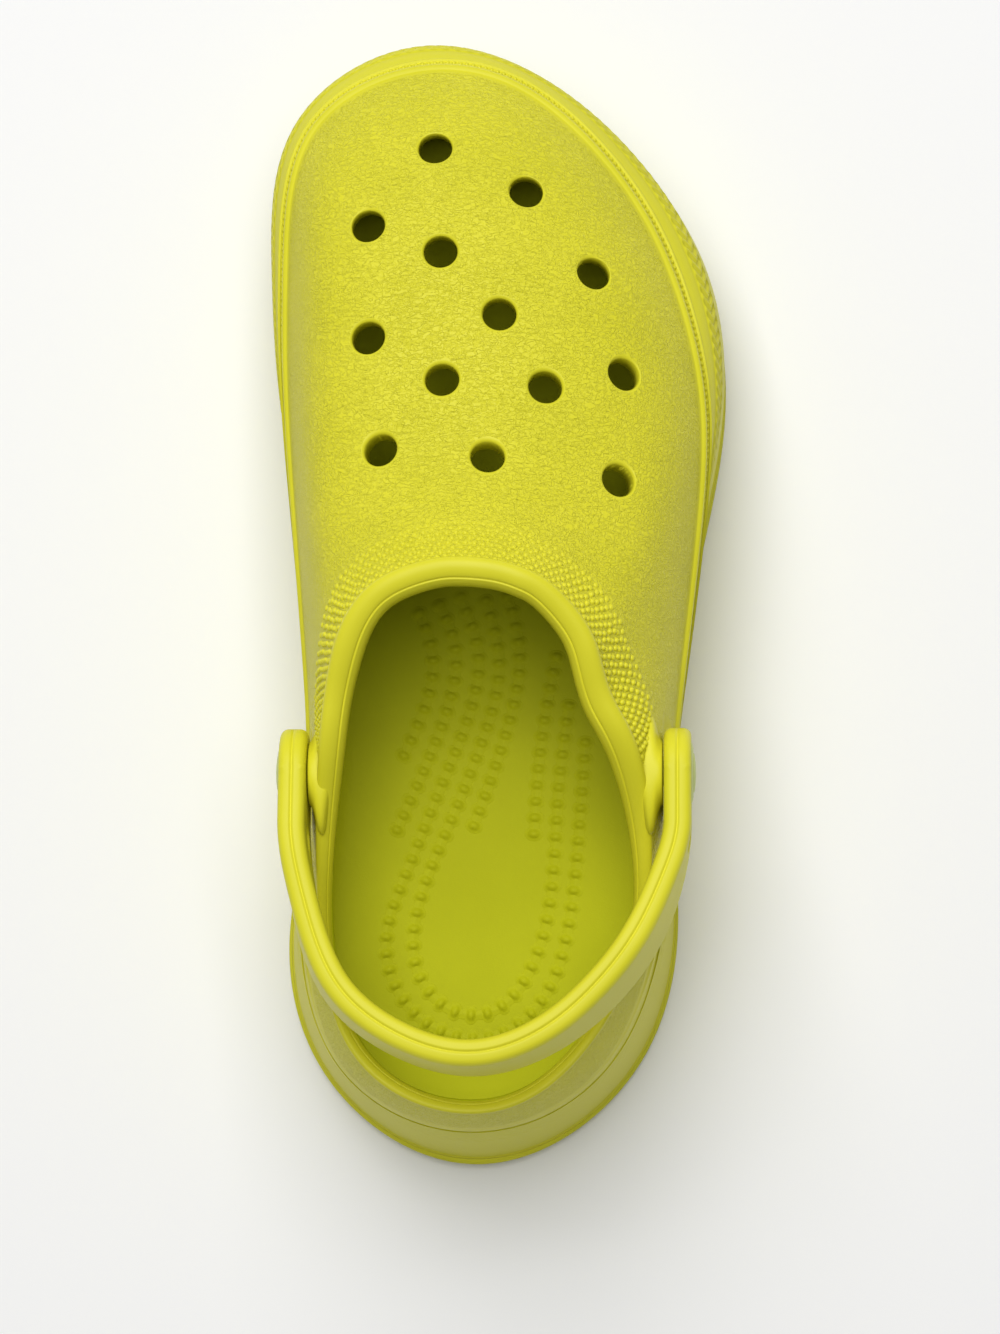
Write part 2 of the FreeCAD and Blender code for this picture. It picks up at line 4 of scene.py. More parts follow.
import bmesh
import bpy
import numpy as np
from mathutils import Matrix, Vector
from mathutils.bvhtree import BVHTree
from mathutils.geometry import delaunay_2d_cdt


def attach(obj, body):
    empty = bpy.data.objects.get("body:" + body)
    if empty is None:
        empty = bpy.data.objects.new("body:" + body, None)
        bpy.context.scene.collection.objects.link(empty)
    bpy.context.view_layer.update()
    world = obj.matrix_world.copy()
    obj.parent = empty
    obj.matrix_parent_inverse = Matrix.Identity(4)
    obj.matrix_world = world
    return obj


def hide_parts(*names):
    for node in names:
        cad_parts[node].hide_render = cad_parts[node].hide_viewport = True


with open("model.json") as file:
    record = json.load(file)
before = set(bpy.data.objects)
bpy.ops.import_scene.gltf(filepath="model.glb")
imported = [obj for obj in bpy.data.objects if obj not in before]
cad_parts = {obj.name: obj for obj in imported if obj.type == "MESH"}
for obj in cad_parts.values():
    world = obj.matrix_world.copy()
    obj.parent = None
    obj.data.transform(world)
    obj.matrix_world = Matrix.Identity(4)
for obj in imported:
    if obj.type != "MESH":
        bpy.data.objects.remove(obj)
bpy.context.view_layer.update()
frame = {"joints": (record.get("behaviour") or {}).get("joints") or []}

MM = 0.001

# ---------------------------------------------------------------------------------
# Shape of the clog, in millimetres.  Stations run clockwise seen from above, from the
# toe tip: bond line, outer edge of the collar bead, widest line of the sole, how
# strongly the section belongs to the vamp, the width of the bead as a part of
# RIM_WIDTH, and how far the wall fills out towards a strap end.
# ---------------------------------------------------------------------------------
STATIONS = [
    ((-18, 130, 45), (-5, 1.6, 107), (-19.5, 136.8), 1.0, 1.0, 0.0),
    ((8, 124.5, 45), (3, 0.8, 107), (10.5, 128.8), 1.0, 1.0, 0.0),
    ((30, 104, 46), (9.8, -1.3, 106.5), (34.8, 108), 1.0, 1.0, 0.0),
    ((43.5, 80, 47), (15.8, -4.8, 105), (51, 81.5), 0.9, 1.02, 0.0),
    ((51, 51, 49.5), (22.4, -12.1, 102.5), (55.2, 52), 0.65, 1.05, 0.0),
    ((50.5, 18, 53), (26.2, -20.6, 99.5), (49.5, 18), 0.3, 1.1, 0.0),
    ((46.5, -15, 56), (29.5, -30.7, 95), (43, -15), 0.1, 1.13, 0.25),
    ((42.5, -48, 55.5), (36, -46.2, 87.5), (41, -48), 0.0, 1.05, 1.0),
    ((40.2, -80, 50.5), (36.6, -79, 68), (42.4, -80), 0.0, 0.55, 0.0),
    ((29.5, -110.5, 45.5), (23, -109.2, 66.5), (33.4, -111.8), 0.0, 0.48, 0.0),
    ((-5.5, -129.5, 44), (-5.4, -125.2, 65.5), (-6.5, -136.6), 0.0, 0.47, 0.0),
    ((-38.5, -112.5, 45.5), (-33.1, -110.5, 66.5), (-43.9, -114), 0.0, 0.48, 0.0),
    ((-46.5, -80, 50.5), (-40.8, -79, 68), (-52, -80), 0.0, 0.48, -0.35),
    ((-44.0, -48, 55.5), (-39.2, -46, 87.5), (-45.5, -48), 0.0, 0.85, 0.0),
    ((-45.3, -15, 56), (-37.3, -30.5, 95), (-42.5, -15), 0.1, 0.95, 0.0),
    ((-48.5, 18, 53.5), (-35, -19.5, 99.5), (-47, 18), 0.3, 1.05, 0.0),
    ((-51.5, 51, 50), (-31.2, -10.5, 102.8), (-53, 50), 0.65, 1.05, 0.0),
    ((-52.2, 80, 47.5), (-24.7, -3.6, 105), (-55.4, 81), 0.9, 1.02, 0.0),
    ((-46, 114, 45), (-13.6, 0.8, 106.5), (-50.2, 117), 1.0, 1.0, 0.0),
]
WALL = 4.4
RIM_WIDTH = 6.2
OUTSOLE_THICK = 6.0
OUTSOLE_LIP = 0.9
PAD_X = {"lateral": 40.6, "medial": -42.0}
SIDE = {"lateral": 1, "medial": -1}
STRAP_GAP = 0.3
STRAP_THICK = 6.4
STRAP_HALF = 10.5
STRAP_EDGE = 1.9
VENT_RADIUS = 4.0

joint = frame["joints"][0]
PIVOT = np.array(joint["pos_m"]) / MM
PIVOT_Y, PIVOT_Z = PIVOT[1], PIVOT[2]

WELT = np.array([s[0] for s in STATIONS], float)
RIM = np.array([s[1] for s in STATIONS], float)
SOLE = np.array([(s[2][0], s[2][1], 0) for s in STATIONS], float)
VAMP = np.array([s[3] for s in STATIONS], float)
BEAD_PART = np.array([s[4] for s in STATIONS], float)
FULL = np.array([s[5] for s in STATIONS], float)


def loop_parameters(points):
    """Chord-length parameters of a closed loop, from 0 to 1."""
    steps = np.linalg.norm(np.roll(points, -1, axis=0) - points, axis=1)
    return np.concatenate([[0.0], np.cumsum(steps) / steps.sum()])


KNOTS = loop_parameters(SOLE)


def closed_spline(points, u):
    """Smooth closed curve through one point per station, at parameters u."""
    n = len(points)
    h = np.diff(KNOTS)
    before = np.roll(h, 1)
    matrix = np.zeros((n, n))
    for i in range(n):
        matrix[i, i] = 2 * (before[i] + h[i])
        matrix[i, (i - 1) % n] = before[i]
        matrix[i, (i + 1) % n] = h[i]
    rise = (np.roll(points, -1, axis=0) - points) / h[:, None]
    bend = np.linalg.solve(matrix, 6 * (rise - np.roll(rise, 1, axis=0)))
    u = np.mod(u, 1.0)
    i = np.clip(np.searchsorted(KNOTS, u, side="right") - 1, 0, n - 1)
    j = (i + 1) % n
    left = (u - KNOTS[i])[:, None]
    right = (KNOTS[i + 1] - u)[:, None]
    width = h[i][:, None]
    return (
        bend[i] * right**3 / (6 * width)
        + bend[j] * left**3 / (6 * width)
        + (points[i] / width - bend[i] * width / 6) * right
        + (points[j] / width - bend[j] * width / 6) * left
    )


def to_unit(vectors):
    """Vectors scaled to length 1."""
    return vectors / np.linalg.norm(vectors, axis=-1)[..., None]


def inward(points):
    """Level unit vectors that point to the inside of a clockwise loop."""
    along = np.roll(points, -1, axis=0) - np.roll(points, 1, axis=0)
    return to_unit(np.stack([along[:, 1], -along[:, 0], np.zeros(len(points))], axis=1))


def bernstein(degree, v):
    """Weights of the Bezier control rows at parameters v."""
    v = np.asarray(v, float)
    return np.stack(
        [math.comb(degree, k) * v**k * (1 - v) ** (degree - k) for k in range(degree + 1)], axis=-1
    )


def band(rows, u, v):
    """Points of a closed band whose meridians are Bezier curves over rows."""
    curves = np.stack([closed_spline(row, u) for row in rows], axis=1)
    return np.einsum("vk,ukx->uvx", bernstein(len(rows) - 1, v), curves)


def through(rows):
    """Bezier control rows whose meridians pass through the given rows."""
    degree = len(rows) - 1
    weights = bernstein(degree, np.linspace(0, 1, degree + 1))
    stacked = np.stack(rows)
    return np.tensordot(np.linalg.inv(weights), stacked, axes=(1, 0))


def lengths(columns):
    """Distance along each column of points, from its first one."""
    steps = np.linalg.norm(np.diff(columns, axis=1), axis=2)
    return np.concatenate([np.zeros((len(columns), 1)), np.cumsum(steps, axis=1)], axis=1)


def path_run(points):
    """Distance along one line of points, from its first one."""
    return lengths(points[None])[0]


def resample(columns, distances):
    """Points at the given distances along each column."""
    run = lengths(columns)
    out = np.empty(distances.shape + (3,))
    for i in range(len(columns)):
        for axis in range(3):
            out[i, :, axis] = np.interp(distances[i], run[i], columns[i, :, axis])
    return out


def grid_normals(grid):
    """Unit normals of a grid that is closed in its first direction, pointing outwards."""
    along = np.roll(grid, -1, axis=0) - np.roll(grid, 1, axis=0)
    across = np.gradient(grid, axis=1)
    normal = np.cross(across, along)
    size = np.linalg.norm(normal, axis=2)[..., None]
    return normal / np.maximum(size, 1e-9)


def ease(value, start, end):
    """Smooth step from 0 to 1 between two places."""
    t = np.clip((np.asarray(value, float) - start) / (end - start), 0, 1)
    return t * t * (3 - 2 * t)


def bump(value, start, end, soft):
    """1 between start and end, with soft edges of the given width outside them."""
    return ease(value, start - soft, start) * (1 - ease(value, end, end + soft))


# ---------------------------------------------------------------------------------
# Mesh helpers
# ---------------------------------------------------------------------------------


def mesh_object(name, vertices, faces, materials=(), face_material=None):
    """Smooth-shaded mesh object from millimetre vertices."""
    mesh = bpy.data.meshes.new(name)
    mesh.from_pydata((np.asarray(vertices) * MM).tolist(), [], [list(map(int, f)) for f in faces])
    for material in materials:
        mesh.materials.append(material)
    if face_material is not None:
        mesh.polygons.foreach_set("material_index", np.asarray(face_material, np.int32))
    mesh.polygons.foreach_set("use_smooth", np.ones(len(mesh.polygons), bool))
    mesh.update()
    obj = bpy.data.objects.new(name, mesh)
    bpy.context.scene.collection.objects.link(obj)
    return obj


def grid_faces(columns, rows, close_columns=True, close_rows=False):
    """Quads of a grid stored column by column."""
    faces = []
    for i in range(columns if close_columns else columns - 1):
        a = i * rows
        b = ((i + 1) % columns) * rows
        for j in range(rows if close_rows else rows - 1):
            k = (j + 1) % rows
            faces.append((a + j, a + k, b + k, b + j))
    return faces


def outward_faces(obj):
    """Makes every face of a closed mesh look outwards."""
    work = bmesh.new()
    work.from_mesh(obj.data)
    bmesh.ops.recalc_face_normals(work, faces=work.faces)
    work.to_mesh(obj.data)
    work.free()


def apply_modifier(obj, modifier):
    """Bakes the one modifier on an object into its mesh."""
    bpy.context.view_layer.update()
    graph = bpy.context.evaluated_depsgraph_get()
    mesh = bpy.data.meshes.new_from_object(obj.evaluated_get(graph))
    obj.modifiers.remove(modifier)
    old = obj.data
    obj.data = mesh
    bpy.data.meshes.remove(old)


def closed_object(name, vertices, faces, materials, face_material=None):
    """Mesh object of closed skins whose faces all look outwards."""
    obj = mesh_object(name, vertices, faces, materials, face_material)
    outward_faces(obj)
    return obj


def carve(obj, name, parts, material):
    """Removes closed solids, given as (vertices, faces) pairs, from the object."""
    cutter = closed_object(name, *joined(parts), (material,))
    modifier = obj.modifiers.new("cut", "BOOLEAN")
    modifier.operation = "DIFFERENCE"
    modifier.solver = "EXACT"
    modifier.object = cutter
    apply_modifier(obj, modifier)
    bpy.data.objects.remove(cutter)
    obj.data.polygons.foreach_set("use_smooth", np.ones(len(obj.data.polygons), bool))


def basis(normal):
    """Rotation that carries +Z to the given direction."""
    return np.array(Vector((0, 0, 1)).rotation_difference(Vector(normal)).to_matrix())


def lathe(profile, segments, centre, axis):
    """Vertices and faces of a closed solid of revolution; profile is (radius, height) points."""
    angles = np.arange(segments) * 2 * math.pi / segments
    turn = basis(axis)
    vertices = []
    rings = []
    for radius, height in profile:
        if radius == 0:
            rings.append([len(vertices)] * segments)
            vertices.append(turn @ np.array([0, 0, height]) + centre)
            continue
        rings.append(list(range(len(vertices), len(vertices) + segments)))
        for angle in angles:
            local = np.array([radius * math.cos(angle), radius * math.sin(angle), height])
            vertices.append(turn @ local + centre)
    faces = []
    for low, high in zip(rings, rings[1:]):
        for i in range(segments):
            j = (i + 1) % segments
            face = [low[i], low[j], high[j], high[i]]
            face = [v for n, v in enumerate(face) if v not in face[:n]]
            if len(face) > 2:
                faces.append(face)
    return vertices, faces


def joined(parts):
    """One set of vertices and faces from several."""
    vertices = []
    faces = []
    for more_vertices, more_faces in parts:
        start = len(vertices)
        vertices.extend(more_vertices)
        faces.extend([[v + start for v in face] for face in more_faces])
    return vertices, faces


DOME = [(1.06, -0.35), (1.0, 0.0), (0.84, 0.5), (0.5, 0.86)]
SOFT_DOME = [
    (1.7, -0.2), (1.6, 0.0), (1.3, 0.05), (1.05, 0.17), (0.85, 0.38), (0.65, 0.63), (0.42, 0.86), (0.2, 0.97),
]


def dome_dots(points, normals, along, radii, heights, stretch=1.0, sides=8, rings=DOME):
    """Low domes that stand on a surface, sunk a little into it, as one set of faces."""
    points, normals, along = (np.asarray(a, float) for a in (points, normals, along))
    along = to_unit(along - np.sum(along * normals, axis=1)[:, None] * normals)
    across = np.cross(normals, along)
    angles = np.arange(sides) * 2 * math.pi / sides
    layers = []
    radii = np.asarray(radii, float)[:, None, None]
    heights = np.asarray(heights, float)[:, None, None]
    for spread, lift in rings:
        x = (np.cos(angles) * spread)[None, :, None] * along[:, None, :] * stretch
        y = (np.sin(angles) * spread)[None, :, None] * across[:, None, :]
        layers.append(points[:, None, :] + radii * (x + y) + heights * lift * normals[:, None, :])
    top = points[:, None, :] + heights * normals[:, None, :]
    vertices = np.concatenate(layers + [top], axis=1)
    per_dot = vertices.shape[1]
    unit = []
    for ring in range(len(rings) - 1):
        for i in range(sides):
            j = (i + 1) % sides
            low, high = ring * sides, (ring + 1) * sides
            unit.append((low + i, low + j, high + j, high + i))
    last = (len(rings) - 1) * sides
    for i in range(sides):
        unit.append((last + i, last + (i + 1) % sides, per_dot - 1))
    unit.append(tuple(range(sides - 1, -1, -1)))
    faces = [[v + start * per_dot for v in face] for start in range(len(points)) for face in unit]
    return vertices.reshape(-1, 3), faces


# ---------------------------------------------------------------------------------
# Materials: moulded foam rubber in several finishes; the inside and footbed colours are darkened with painted
# shade
# ---------------------------------------------------------------------------------


class Nodes:
    """Small helper to build one procedural material."""

    def __init__(self, name):
        self.material = bpy.data.materials.new(name)
        self.material.use_nodes = True
        self.tree = self.material.node_tree
        self.shader = self.tree.nodes["Principled BSDF"]
        self.place = self.tree.nodes.new("ShaderNodeTexCoord").outputs["Object"]

    def link(self, start, end):
        """Joins an output to an input."""
        self.tree.links.new(start, end)

    def scaled(self, per_metre):
        """Object coordinates multiplied by one factor for each axis."""
        item = self.tree.nodes.new("ShaderNodeVectorMath")
        item.operation = "MULTIPLY"
        self.link(self.place, item.inputs[0])
        item.inputs[1].default_value = per_metre
        return item.outputs[0]

    def noise(self, per_metre, detail=3.0, roughness=0.55, distortion=0.0):
        """Noise value with features of about 1 / per_metre."""
        item = self.tree.nodes.new("ShaderNodeTexNoise")
        item.inputs["Scale"].default_value = 1.0
        item.inputs["Detail"].default_value = detail
        item.inputs["Roughness"].default_value = roughness
        item.inputs["Distortion"].default_value = distortion
        self.link(self.scaled(per_metre), item.inputs["Vector"])
        return item.outputs["Fac"]

    def ramp(self, value, low, high):
        """Value mapped from low..high to 0..1."""
        item = self.tree.nodes.new("ShaderNodeMapRange")
        item.inputs["From Min"].default_value = low
        item.inputs["From Max"].default_value = high
        item.interpolation_type = "SMOOTHSTEP"
        self.link(value, item.inputs["Value"])
        return item.outputs["Result"]

    def math(self, operation, a, b):
        """Math node; either input may be a number."""
        item = self.tree.nodes.new("ShaderNodeMath")
        item.operation = operation
        for socket, value in zip(item.inputs, (a, b)):
            if isinstance(value, (int, float)):
                socket.default_value = value
            else:
                self.link(value, socket)
        return item.outputs[0]

    def mix(self, factor, first, second):
        """Colour between two colours."""
        item = self.tree.nodes.new("ShaderNodeMix")
        item.data_type = "RGBA"
        self.link(factor, item.inputs["Factor"])
        item.inputs["A"].default_value = (*first, 1)
        item.inputs["B"].default_value = (*second, 1)
        return item.outputs["Result"]

    def relief(self, height, depth, before=None):
        """Bump from a height value, depth in metres."""
        item = self.tree.nodes.new("ShaderNodeBump")
        item.inputs["Strength"].default_value = 1.0
        item.inputs["Distance"].default_value = depth
        self.link(height, item.inputs["Height"])
        if before is not None:
            self.link(before, item.inputs["Normal"])
        return item.outputs["Normal"]


def foam(name, colour, deep, roughness, grain=0.0, fine=0.00002, specular=0.25):
    """Moulded foam rubber: faint mottling, satin surface, optional leather grain."""
    build = Nodes(name)
    cloud = build.ramp(build.noise((45, 45, 45), detail=2.0), 0.35, 0.65)
    build.link(build.mix(cloud, colour, deep), build.shader.inputs["Base Color"])
    build.shader.inputs["Specular IOR Level"].default_value = specular
    skin = build.noise((2600, 2600, 2600), detail=2.0)
    normal = build.relief(skin, fine)
    gloss = build.math("MULTIPLY_ADD", skin, 0.10)
    gloss.node.inputs[2].default_value = roughness - 0.05
    if grain:
        wrinkle = build.noise((700, 1150, 1150), detail=2.0, roughness=0.45, distortion=0.9)
        pebble = build.noise((1100, 1250, 1250), detail=1.5, roughness=0.45, distortion=0.5)
        folds = build.math("ABSOLUTE", build.math("SUBTRACT", wrinkle, 0.5), 0.0)
        folds = build.ramp(folds, 0.0, 0.11)
        height = build.math("ADD", build.math("MULTIPLY", folds, 0.65), build.math("MULTIPLY", pebble, 0.7))
        normal = build.relief(height, grain, normal)
        gloss = build.math("SUBTRACT", gloss, build.math("MULTIPLY", folds, 0.06))
    build.link(gloss, build.shader.inputs["Roughness"])
    build.link(normal, build.shader.inputs["Normal"])
    return build.material


LIME = (0.745, 0.705, 0.030)
LIME_DEEP = (0.715, 0.680, 0.026)
# Inside of the upper: the same lime foam as outside, darkened as painted shade of the deep interior.
INSIDE_PAINTED_SHADE = (0.49, 0.515, 0.006)
INSIDE_PAINTED_SHADE_DEEP = (0.47, 0.495, 0.005)
# Footbed: partly its own slightly darker foam, mostly darkened as painted shade of the deep interior.
BED_TONE_AND_SHADE = (0.475, 0.49, 0.007)
BED_TONE_AND_SHADE_DEEP = (0.46, 0.475, 0.006)
SOLE_LIME = (0.72, 0.685, 0.028)
TREAD = (0.69, 0.665, 0.03)
TREAD_DEEP = (0.655, 0.635, 0.025)
RIVET = (0.60, 0.665, 0.17)
RIVET_DEEP = (0.58, 0.65, 0.155)
grain_mat = foam("foam_grain", LIME, LIME_DEEP, 0.50, grain=0.00020)
smooth_mat = foam("foam_smooth", LIME, LIME_DEEP, 0.44)
# Inside skin material: lime foam darkened as painted shade.
inside_shade_mat = foam("foam_inside_painted_shade", INSIDE_PAINTED_SHADE, INSIDE_PAINTED_SHADE_DEEP, 0.65, specular=0.10)
# Footbed material: its own slightly darker tone plus painted shade.
footbed_tone_and_shade_mat = foam("foam_footbed_tone_and_shade", BED_TONE_AND_SHADE, BED_TONE_AND_SHADE_DEEP, 0.65, fine=0.00004, specular=0.12)
sole_mat = foam("foam_sole", SOLE_LIME, LIME_DEEP, 0.50, fine=0.00004)
tread_mat = foam("foam_tread", TREAD, TREAD_DEEP, 0.60, fine=0.00006)
strap_mat = foam("foam_strap", LIME, LIME_DEEP, 0.46, fine=0.00003)
rivet_mat = foam("rivet_plastic", RIVET, RIVET_DEEP, 0.42, specular=0.45)

# ---------------------------------------------------------------------------------
# Upper: one closed skin from the bond line over the vamp and the bead to the inside
# ---------------------------------------------------------------------------------
welt_in = inward(WELT)
rim_in = inward(RIM)


def meridian_row(side, vamp, full, inset):
    """Control row between bond line and rim, each shape as (plan, height) fractions.

    On the vamp the row also lies further in by the inset, so that the skin slopes there."""
    plan = side[0] + (full[0] - side[0]) * FULL
    lift = side[1] + (full[1] - side[1]) * FULL
    plan = plan + (vamp[0] - plan) * VAMP
    lift = lift + (vamp[1] - lift) * VAMP
    row = WELT + (RIM - WELT) * np.stack([plan, plan, lift], axis=1)
    return row + welt_in * (inset * VAMP)[:, None]


outer_rows = [
    WELT,
    meridian_row((0.08, 0.30), (0.0, 0.22), (0.03, 0.30), 6.5),
    meridian_row((0.45, 0.60), (0.30, 0.66), (0.15, 0.61), 2.0),
    meridian_row((0.78, 0.86), (0.80, 0.46), (0.50, 0.90), 0.0),
    RIM,
]
up = np.array([0, 0, 1.0])
inner_welt = WELT + welt_in * WALL
inner_rim = RIM + rim_in * BEAD_PART[:, None] * RIM_WIDTH - up * 1.5

UPPER_COLUMNS = 560
upper_u = np.arange(UPPER_COLUMNS) / UPPER_COLUMNS
fine_v = np.linspace(0, 1, 241)
outer_fine = band(outer_rows, upper_u, fine_v)
outer_run = lengths(outer_fine)[:, -1]

# Distances of the rows near the bond line and near the rim, then an even spread between.
KNURL_WIDTH = 3.6
RIDGE_WIDTH = 2.6
near_welt = np.array([0, 0.25, 0.5, 1.0, 1.8, 2.6, 3.2, 3.6, 3.9, 4.2, 4.6, 5.1, 5.6, 6.0, 6.4, 6.9, 7.6])
near_rim = np.array([3.2, 2.2, 1.4, 0.8, 0.4, 0.15, 0])
MID_ROWS = 96
mid = np.linspace(0, 1, MID_ROWS + 2)[1:-1]
room = outer_run - near_welt[-1] - near_rim[0]
distances = np.concatenate(
    [
        np.repeat(near_welt[None, :], UPPER_COLUMNS, axis=0),
        near_welt[-1] + room[:, None] * mid[None, :],
        outer_run[:, None] - near_rim[None, :],
    ],
    axis=1,
)
outer = resample(outer_fine, distances)
outer_normal = grid_normals(outer)


def welt_relief(s):
    """Height of the skin near the bond line: sunk knurl strip, then a raised ridge."""
    strip = bump(s, 0.35, KNURL_WIDTH, 0.2)
    ridge = bump(s, KNURL_WIDTH + 0.75, KNURL_WIDTH + RIDGE_WIDTH - 0.6, 0.6)
    return 0.85 * ridge - 0.42 * strip


trim = 0.12 + 0.88 * ease(closed_spline(WELT, upper_u)[:, 1:2], -104, -62)
outer = outer + outer_normal * (trim * welt_relief(distances))[:, :, None]

# Rolled bead: inward distance and height of its section, with a fine parting line.
PARTING = 4.55
BEAD = [
    (-0.25, 0.5), (-0.45, 1.1), (-0.40, 1.8), (-0.05, 2.5), (0.55, 3.1), (1.4, 3.5), (2.4, 3.62),
    (3.4, 3.5), (4.1, 3.25), (PARTING - 0.18, 3.06), (PARTING - 0.07, 2.72), (PARTING + 0.07, 2.68),
    (PARTING + 0.20, 2.94), (5.0, 2.72), (5.5, 2.3), (5.95, 1.6), (6.2, 0.7), (6.28, -0.3),
]
rim_curve = closed_spline(RIM, upper_u)
rim_normal = to_unit(closed_spline(rim_in, upper_u))
bead_part = closed_spline(np.repeat(BEAD_PART[:, None], 3, axis=1), upper_u)[:, :1]
bead_lift = 0.45 + 0.55 * bead_part
bead = np.stack(
    [
        rim_curve + rim_normal * bead_part * d + up * (h * bead_lift - 1.5 * max(d, 0) / RIM_WIDTH)
        for d, h in BEAD
    ],
    axis=1,
)

# Inside: offset of the outer skin, which then runs down the pocket wall of the sole.
quarter = band(outer_rows, KNOTS[:-1], [0, 0.25, 0.5, 0.75, 1.0])
quarter_normal = grid_normals(band(outer_rows, upper_u, np.linspace(0, 1, 41)))[:, ::10]
station_column = np.round(KNOTS[:-1] * UPPER_COLUMNS).astype(int) % UPPER_COLUMNS
offset = quarter - quarter_normal[station_column] * WALL
inner_rows = through([inner_welt, offset[:, 1], offset[:, 2], offset[:, 3], inner_rim])
inner = band(inner_rows, upper_u, np.linspace(1, 0, 46)[1:])
pocket_rows = [
    inner_welt,
    inner_welt + welt_in * 0.6 - up * 9,
    np.concatenate([(inner_welt + welt_in * 3.0)[:, :2], np.full((len(WELT), 1), 22.0)], axis=1),
]
pocket = band(pocket_rows, upper_u, [0.12, 0.25, 0.4, 0.55, 0.7])
pocket_back = pocket[:, -1:, :] - closed_spline(welt_in, upper_u)[:, None, :] * 1.2
under = closed_spline(WELT + welt_in * (WALL + 0.2), upper_u)[:, None, :] - up * 0.6
upper_grid = np.concatenate([outer, bead, inner, pocket, pocket_back, under], axis=1)
rows = upper_grid.shape[1]
row_material = np.full(rows, 1)
row_material[len(near_welt) - 1 : outer.shape[1] - 1] = 0
# Rows inside the clog use the lime darkened as painted shade.
row_material[outer.shape[1] + len(BEAD) - 1 :] = 2
upper = closed_object(
    "clog_upper",
    upper_grid.reshape(-1, 3),
    grid_faces(UPPER_COLUMNS, rows, close_rows=True),
    (grain_mat, smooth_mat, inside_shade_mat),
    np.tile(row_material, UPPER_COLUMNS),
)
tree = BVHTree.FromPolygons(
    [Vector(p) for p in outer.reshape(-1, 3)], grid_faces(UPPER_COLUMNS, outer.shape[1])
)


def surface_below(x, y):
    """Point and outward normal of the vamp above a place in plan."""
    point, normal, _, _ = tree.ray_cast(Vector((x, y, 150)), Vector((0, 0, -1)))
    normal = normal if normal.z > 0 else -normal
    return np.array(point), np.array(normal)


VENTS = [
    (-13.6, 104.9), (8.3, 93.8), (-29.3, 85.3), (-11.8, 78.4), (24.5, 73.7), (2.4, 62.8), (-28.8, 57.4),
    (31.8, 48.9), (-11, 46.7), (13.4, 45), (-25.4, 29.8), (0.1, 27.7), (30.6, 22.8),
]


def mouth_profile(radius, rounding, above, below, steps=8):
    """Half profile of a cutter whose mouth rounds into the surface at height 0."""
    start = 0.10
    points = [(0, above)]
    first = radius + rounding - math.sqrt(rounding**2 - (rounding - start) ** 2)
    slope = math.sqrt(rounding**2 - (rounding - start) ** 2) / (rounding - start)
    points.append((first + (above + start) / slope, above))
    for k in range(steps + 1):
        depth = start + (rounding - start) * k / steps
        across = math.sqrt(max(0.0, rounding**2 - (rounding - depth) ** 2))
        points.append((radius + rounding - across, -depth))
    points.append((radius, -below))
    points.append((0, -below))
    return points


# The vents are square to the instep and turn towards plumb over a stretch up to the toe.
VENT_PLUMB = 0.8
VENT_PLUMB_FROM = 25
VENT_PLUMB_RUN = 65
mouth = mouth_profile(VENT_RADIUS, 1.1, 0.7, 1.6)
bore = [(0, 0.6), (VENT_RADIUS, 0.6), (VENT_RADIUS, -9), (0, -9)]
mouths = []
bores = []
for x, y in VENTS:
    point, normal = surface_below(x, y)
    turn = VENT_PLUMB * min(max((y - VENT_PLUMB_FROM) / VENT_PLUMB_RUN, 0), 1)
    mouths.append(lathe(mouth, 72, point, normal))
    bores.append(lathe(bore, 72, point, normal * (1 - turn) + np.array([0, 0, turn])))
carve(upper, "mouth_cutter", mouths, smooth_mat)
carve(upper, "bore_cutter", bores, smooth_mat)

# Flat pads behind the strap ends, cut level so that the strap can swing past them.
PAD_SECTION = [(0, 0), (14.3, 0), (15.2, 0.5), (16.6, 2.2), (17.8, 5), (18.4, 9), (0, 9)]
for label, face in PAD_X.items():
    pad = lathe(PAD_SECTION, 96, np.array([face, PIVOT_Y, PIVOT_Z]), (SIDE[label], 0, 0))
    carve(upper, "pad_cutter", [pad], smooth_mat)

# ---------------------------------------------------------------------------------
# Fine studs: three rows in the knurl strip, and a band of them around the collar
# ---------------------------------------------------------------------------------
STUD_PITCH = 1.55
STUD_LINES = (0.85, 1.95, 3.05)
STUD_REAR = -84
COLLAR_PITCH = 2.0
COLLAR_LINES = 8
COLLAR_SPACING = 1.7


def loop_spots(line, pitch, shift):
    """Evenly spaced spots, as fractional columns, along one line of a closed grid."""
    run = path_run(np.concatenate([line, line[:1]]))
    count = round(run[-1] / pitch)
    places = (np.arange(count) + shift) / count * run[-1]
    return np.interp(places, run, np.arange(len(run)))


def on_outer(columns, distance_from_welt):
    """Points, normals and directions on the outer skin at fractional columns."""
    index = np.floor(columns).astype(int)
    part = (columns - index)[:, None]
    index = index % UPPER_COLUMNS
    after = (index + 1) % UPPER_COLUMNS
    near = np.empty((len(columns), 3))
    far = np.empty((len(columns), 3))
    normals = np.empty((len(columns), 3))
    for k, (i, j) in enumerate(zip(index, after)):
        for column, out in ((i, near), (j, far)):
            for axis in range(3):
                out[k, axis] = np.interp(distance_from_welt[k], distances[column], outer[column, :, axis])
        row = int(np.argmin(abs(distances[i] - distance_from_welt[k])))
        normals[k] = outer_normal[i, row]
    along = far - near
    return near + part * along, normals, along


stud_parts = []
for line, distance in enumerate(STUD_LINES):
    row = int(np.argmin(abs(near_welt - distance)))
    spots = loop_spots(outer[:, row], STUD_PITCH, 0.5 * (line % 2))
    points, normals, along = on_outer(spots, np.full(len(spots), distance))
    keep = points[:, 1] > STUD_REAR
    size = np.full(np.sum(keep), 0.56)
    height = 0.5 * (0.3 + 0.7 * ease(points[keep, 1], STUD_REAR, -55))
    stud_parts.append(dome_dots(points[keep], normals[keep], along[keep], size, height, sides=6))

